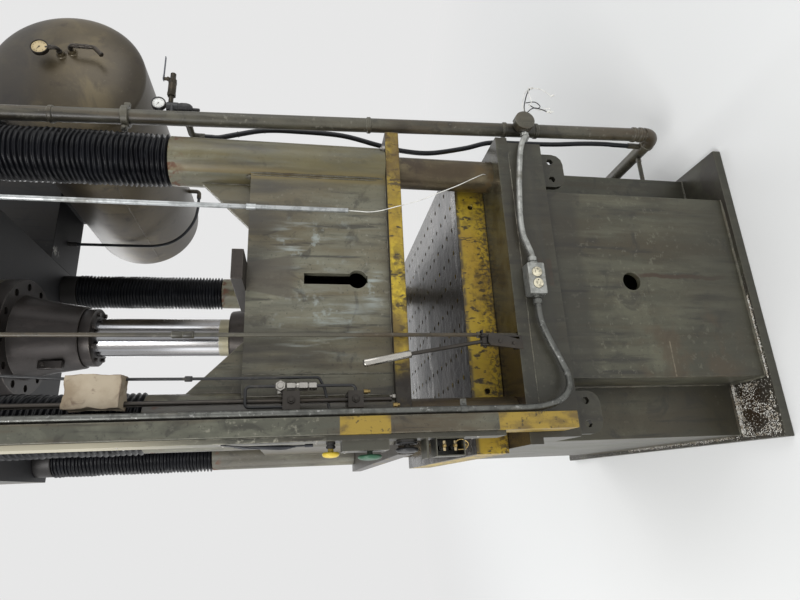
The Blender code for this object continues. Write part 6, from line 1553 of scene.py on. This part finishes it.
def wiring_cover():
    """A crumpled beige cover round the hanging pipe."""
    low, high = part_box("wiring_box")
    work = bmesh.new()
    size = high - low
    shrunk = Matrix.Diagonal((size.x * 0.96, size.y * 0.96, size.z * 0.98, 1.0))
    place = Matrix.Translation((low + high) / 2) @ shrunk
    bmesh.ops.create_cube(work, size=1.0, matrix=place)
    bmesh.ops.subdivide_edges(work, edges=work.edges, cuts=13, use_grid_fill=True)
    for v in work.verts:
        crumple = noise.noise(v.co * 26.0) * 0.006 + noise.noise(v.co * 70.0) * 0.0022
        outward = (v.co - (low + high) / 2).normalized()
        v.co += outward * (crumple - 0.002)
        v.co.x += 0.05 * (v.co.z - high.z) * -0.25 * (1 if v.co.x > -0.368 else 0.4)
        v.co = Vector([min(max(c, a), b) for c, a, b in zip(v.co, low, high)])
    new_piece("wiring_cover", work, "beige", "frame", ("wiring_box",), 60.0)


def make_lever_side():
    """The lever's bracket, the lever with its worn grip, the trip rod and its guide."""
    refined("lever_bracket", "steel", width=0.0009)
    px, py, pz = LEVER_PIVOT
    bore, hub, wide = 0.0067, 0.0128, 0.0098
    work = lathe(bmesh.new(), soft_ring(bore, hub, px - wide, px + wide, 0.001), (0.0, py, pz), "X", 48)
    places = (LEVER_PIVOT, (-0.2710, -0.8330, 1.279), (-0.3020, -0.8520, 1.419))
    start, foot, head = (Vector(place) for place in places)
    along = (foot - start).normalized()
    sweep(work, finely([start + along * 0.0088, foot + along * 0.010], 0.02), 0.0060, 24)
    arm_low, arm_high = pz - 0.003, pz + 0.003
    block(work, (px - 0.0058, py + 0.0088, arm_low), (px + 0.0058, -0.7640, arm_high), 0.0010)
    dressed("hand_lever", work, "steel", body="lever")
    along = (head - foot).normalized()
    long = (head - foot).length
    work = bmesh.new()
    lathe(work, [(0.0062, 0.0), (0.0105, 0.0), (0.0113, 0.0012), (0.0113, long * 0.45), (0.0108, long * 0.50),
                 (0.0112, long * 0.55), (0.0113, long - 0.0020), (0.0098, long), (0.0062, long),
                 (0.0060, long - 0.010), (0.0058, long - 0.012)], foot, along, 40)
    lathe(work, soft_disc(0.0061, long - 0.014, long - 0.012, 0.0002), foot, along, 24)
    new_piece("lever_grip", work, "bright", "lever")
    eye = bmesh.new()
    rod_x, rod_y = TRIP_ROD_X, TRIP_ROD_Y
    block(eye, (px - 0.0058, rod_y - 0.0123, arm_low), (rod_x + 0.0143, rod_y + 0.0123, arm_high), 0.0016)
    hole = lathe(bmesh.new(), plain_disc(0.0095, pz - 0.01, pz + 0.01), (rod_x, rod_y, 0.0), "Z", 32)
    new_piece("lever_eye", carved(eye, [hole]), "steel", "lever")
    low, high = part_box("trip_rod")
    sections = [(0.0, low.z), (0.0056, low.z), (0.0062, low.z + 0.002), (0.0062, 1.0415), (0.0100, 1.0415),
                (0.0103, 1.0425), (0.0103, 1.0485), (0.0098, 1.0495), (0.0062, 1.0495), (0.0062, 1.900),
                (0.0102, 1.900), (0.0108, 1.902), (0.0108, 1.927), (0.0096, 1.930), (0.0108, 1.933),
                (0.0108, 1.958), (0.0102, 1.960), (0.0062, 1.960), (0.0062, high.z), (0.0, high.z)]
    work = lathe(bmesh.new(), sections, (rod_x, rod_y, 0.0), "Z", 28)
    dressed("trip_rod", work, "pipe", 36.0, body="rod")
    refined("rod_guide", "casting", width=0.0015)


# Loose things that lie on the machine

def make_grit():
    """Absorbent grains spilt on the base plate at the front left and along the pedestal's foot."""
    work = bmesh.new()
    spots = []
    for _ in range(1500):
        x, y = RANDOM.uniform(-0.528, -0.345), RANDOM.uniform(-0.770, -0.598)
        if noise.noise(Vector((x * 14, y * 14, 3.0))) > -0.12:
            spots.append((x, y))
    for _ in range(420):
        spots.append((RANDOM.uniform(-0.52, -0.34), -0.589 - abs(RANDOM.gauss(0.0, 0.008)) - 0.006))
    for _ in range(500):
        spots.append((RANDOM.uniform(-0.345, -0.05), -0.766 - abs(RANDOM.gauss(0.0, 0.003))))
    for _ in range(420):
        spots.append((-0.5225 - abs(RANDOM.gauss(0.0, 0.005)), RANDOM.uniform(-0.58, 0.15)))
    for x, y in spots:
        if abs(x) > 0.536 or abs(y) > 0.776:
            continue
        size = RANDOM.uniform(0.0010, 0.0026)
        yaw = Matrix.Rotation(RANDOM.uniform(0, math.pi), 4, "Z")
        turn = yaw @ Matrix.Rotation(RANDOM.uniform(-0.5, 0.5), 4, "X")
        flat = Matrix.Diagonal((1.0, 0.8, 0.6, 1.0))
        place = Matrix.Translation((x, y, PLATE_TOP + size * 0.40)) @ turn @ flat
        bmesh.ops.create_icosphere(work, subdivisions=1, radius=size, matrix=place)
    new_piece("spilt_grit", work, "grit", smooth=20.0)


def make_small_things():
    """Zip ties on the hose and studs on the platen."""
    work = bmesh.new()
    for z in (1.835, 1.740):
        i = min(range(len(HOSE_ROUTE)), key=lambda k: abs(HOSE_ROUTE[k][2] - z))
        collar_on(work, HOSE_ROUTE[i], Vector(HOSE_ROUTE[i + 1]) - Vector(HOSE_ROUTE[i - 1]), 0.0108, 0.0045,
                  0.0006)
    new_piece("hose_ties", work, "black")
    work = bmesh.new()
    for x, y in ((-0.380, -0.742), (0.487, -0.742)):
        hexagon(work, (x, y, PLATEN_TOP), "Z", 0.016, 0.0, 0.010)
        lathe(work, soft_disc(0.0045, 0.008, 0.017, 0.0006), (x, y, PLATEN_TOP), "Z", 16)
    new_piece("platen_studs", work, "bright", "slide")


def strand(work, route, radius, spacing=0.006):
    sweep(work, smooth_path(route, spacing), radius, 10)


def make_wires():
    """Wire tails out of the junction box, the coiled lead on the raceway and the long pilot tube."""
    y = -0.742
    black, pale = bmesh.new(), bmesh.new()
    strand(black, ((0.678, -0.728, 0.757), (0.700, y, 0.770), (0.730, y - 0.008, 0.766),
                   (0.768, y - 0.006, 0.752),
                   (0.796, y, 0.735)), 0.0022)
    strand(black, ((0.680, -0.730, 0.768), (0.702, y - 0.004, 0.738), (0.705, y, 0.705), (0.694, y, 0.676)),
           0.0020)
    strand(black, ((0.722, y - 0.008, 0.764), (0.735, y, 0.722), (0.722, y + 0.006, 0.700), (0.706, y, 0.722),
                   (0.716, y - 0.006, 0.752)), 0.0018)
    strand(pale, ((0.684, -0.730, 0.762), (0.708, y - 0.006, 0.778), (0.742, y - 0.002, 0.771),
                  (0.772, y, 0.760),
                  (0.800, y + 0.004, 0.730), (0.797, y, 0.690), (0.770, y, 0.650)), 0.0016)
    strand(pale, ((0.700, y - 0.010, 0.757), (0.728, y - 0.012, 0.742), (0.760, y - 0.008, 0.747),
                  (0.798, y - 0.002, 0.742)), 0.0016)
    strand(pale, ((0.716, y - 0.002, 0.742), (0.700, y + 0.002, 0.705), (0.712, y, 0.668), (0.692, y, 0.664)),
           0.0014)
    for place in ((0.7965, y, 0.7345), (0.7700, y, 0.6500), (0.6930, y, 0.6650), (0.6940, y, 0.6760)):
        lathe(pale, [(0.0, -0.004), (0.0036, -0.004), (0.0044, 0.004), (0.0030, 0.013), (0.0, 0.014)], place,
              (0.4, 0.0, -0.9), 14)
    new_piece("junction_leads", black, "black")
    new_piece("junction_lead_ends", pale, "wire")
    coil = bmesh.new()
    x = -0.5210
    turns = []
    for i in range(3):
        drop, side = 0.010 * i, 0.0022 * i
        turns += [(x - side, -0.852 - side, 1.752 - drop), (x - 0.004 - side, -0.860 + side, 1.690 - drop),
                  (x - 0.005 - side, -0.852, 1.622 + drop), (x - 0.003 - side, -0.841, 1.606 + drop),
                  (x - side, -0.833 + side, 1.640), (x - side, -0.835, 1.715), (x - side, -0.842, 1.764 - drop)]
    strand(coil, [(-0.5150, -0.842, 1.800), *turns, (x - 0.004, -0.848, 1.690), (x - 0.002, -0.846, 1.575)],
           0.0023, 0.008)
    lathe(coil, soft_disc(0.0045, -0.012, 0.010, 0.001), (x - 0.002, -0.846, 1.572), "Z", 16)
    new_piece("raceway_lead", coil, "hose")
    tube = bmesh.new()
    y = -0.798
    route = bent_path([(-0.3160, y, 2.9300), (-0.3160, y, 2.3710), (-0.3280, y, 2.1760), (-0.3300, y, 1.9220),
            (-0.3300, y, 1.5430), (-0.3620, y, 1.5270), (-0.4240, y, 1.5130), (-0.4505, y, 1.5080)], 0.012, 6)
    sweep(tube, finely(route, 0.04), 0.0042, 18)
    block(tube, (-0.326, -0.8040, 2.905), (-0.306, -0.7802, 2.935), 0.0015)
    hexagon(tube, (-0.3300, y, 1.900), "Z", 0.0140, -0.010, 0.010)
    hexagon(tube, (-0.4400, y, 1.5100), "X", 0.0130, -0.008, 0.008)
    new_piece("long_pilot_tube", tube, "black")


def make_foot_and_caps():
    """The plate before the lever's pivot, the pilot valves' caps and elbow, and the slide front's seams."""
    plate = bmesh.new()
    front, back = -0.8136, -0.8090
    outline = ((-0.2530, 0.9168), (-0.2240, 0.9168), (-0.1995, 1.0130), (-0.2040, 1.0260), (-0.2290, 1.0290),
               (-0.2400, 1.0200))
    rings = [[plate.verts.new((x, y, z)) for x, z in outline] for y in (front, back)]
    plate.faces.new(rings[0])
    plate.faces.new(rings[1][::-1])
    for i in range(len(outline)):
        j = (i + 1) % len(outline)
        plate.faces.new((rings[0][j], rings[0][i], rings[1][i], rings[1][j]))
    bmesh.ops.bevel(plate, geom=list(plate.edges), offset=0.0008, segments=2, affect="EDGES", profile=0.5)
    for x, z in ((-0.2260, 0.990), (-0.2330, 0.945)):
        hexagon(plate, (x, front, z), TO_FRONT, 0.011, -0.001, 0.005)
    new_piece("lever_foot_plate", plate, "steel")
    caps = bmesh.new()
    for x, z in ((-0.4137, 1.3250), (-0.3733, 1.4100)):
        hexagon(caps, (x, -0.800, z), "Z", 0.0120, -0.008, 0.006)
        lathe(caps, soft_disc(0.0050, -0.014, -0.007, 0.0008), (x, -0.800, z), "Z", 16)
    new_piece("brass_caps", caps, "brass")
    elbow = bmesh.new()
    hexagon(elbow, (-0.3570, -0.8195, 1.650), TO_FRONT, 0.0270, -0.012, 0.006)
    lathe(elbow, soft_disc(0.0090, 0.004, 0.012, 0.001), (-0.3570, -0.8195, 1.650), TO_FRONT, 24)
    hexagon(elbow, (-0.3690, -0.8000, 1.650), "X", 0.0170, -0.008, 0.004)
    new_piece("fitting_elbow", elbow, "bright")
    nut = bmesh.new()
    hexagon(nut, (0.3595, -0.7220, 1.7655), "Z", 0.0150, 0.0, 0.009)
    lathe(nut, soft_disc(0.0040, 0.008, 0.015, 0.0006), (0.3595, -0.7220, 1.7655), "Z", 14)
    weld_bead(nut, (0.3645, -0.7294, 1.345), (0.3645, -0.7294, 1.760), 0.0020, 0.005)
    weld_bead(nut, (-0.3068, -0.7294, 1.345), (-0.3068, -0.7294, 1.760), 0.0014, 0.005)
    new_piece("slide_seams", nut, "weld", "slide")


def make_contacts():
    """Brass studs and pale links in the contact box, with a short lead between them."""
    x, y = -0.5360, -0.8440
    brass, pale = bmesh.new(), bmesh.new()
    for z in (1.1984, 1.1665, 1.1400):
        hexagon(brass, (x, y, z), TO_FRONT, 0.0105, -0.012, 0.005)
        lathe(brass, soft_disc(0.0030, 0.004, 0.010, 0.0005), (x, y, z), TO_FRONT, 14)
        block(pale, (x - 0.014, y - 0.0020, z - 0.0035), (x + 0.014, y + 0.0010, z + 0.0035), 0.0006)
    strand(brass, ((x + 0.010, y - 0.003, 1.1665), (x + 0.016, y - 0.010, 1.150), (x + 0.004, y - 0.012, 1.132),
                   (x - 0.010, y - 0.008, 1.140), (x - 0.012, y - 0.003, 1.160)), 0.0015)
    new_piece("contact_studs", brass, "brass")
    new_piece("contact_links", pale, "cream")


def dress_piston():
    """The piston is the one CAD node that no piece stands for, so it gets a detailed material itself."""
    slots = NODES["piston"].data.materials
    slots.clear()
    slots.append(FINISHES["steel"])


FINISHES = make_materials()
make_camera()
make_cords()
make_studio()
make_frame()
make_slide()
make_bellows()
make_tank()
make_air_pipe()
make_regulator()
make_post()
make_outlet()
make_hanging_conduit()
make_pilot_side()
make_lever_side()
make_grit()
make_small_things()
make_wires()
make_foot_and_caps()
make_contacts()
dress_piston()
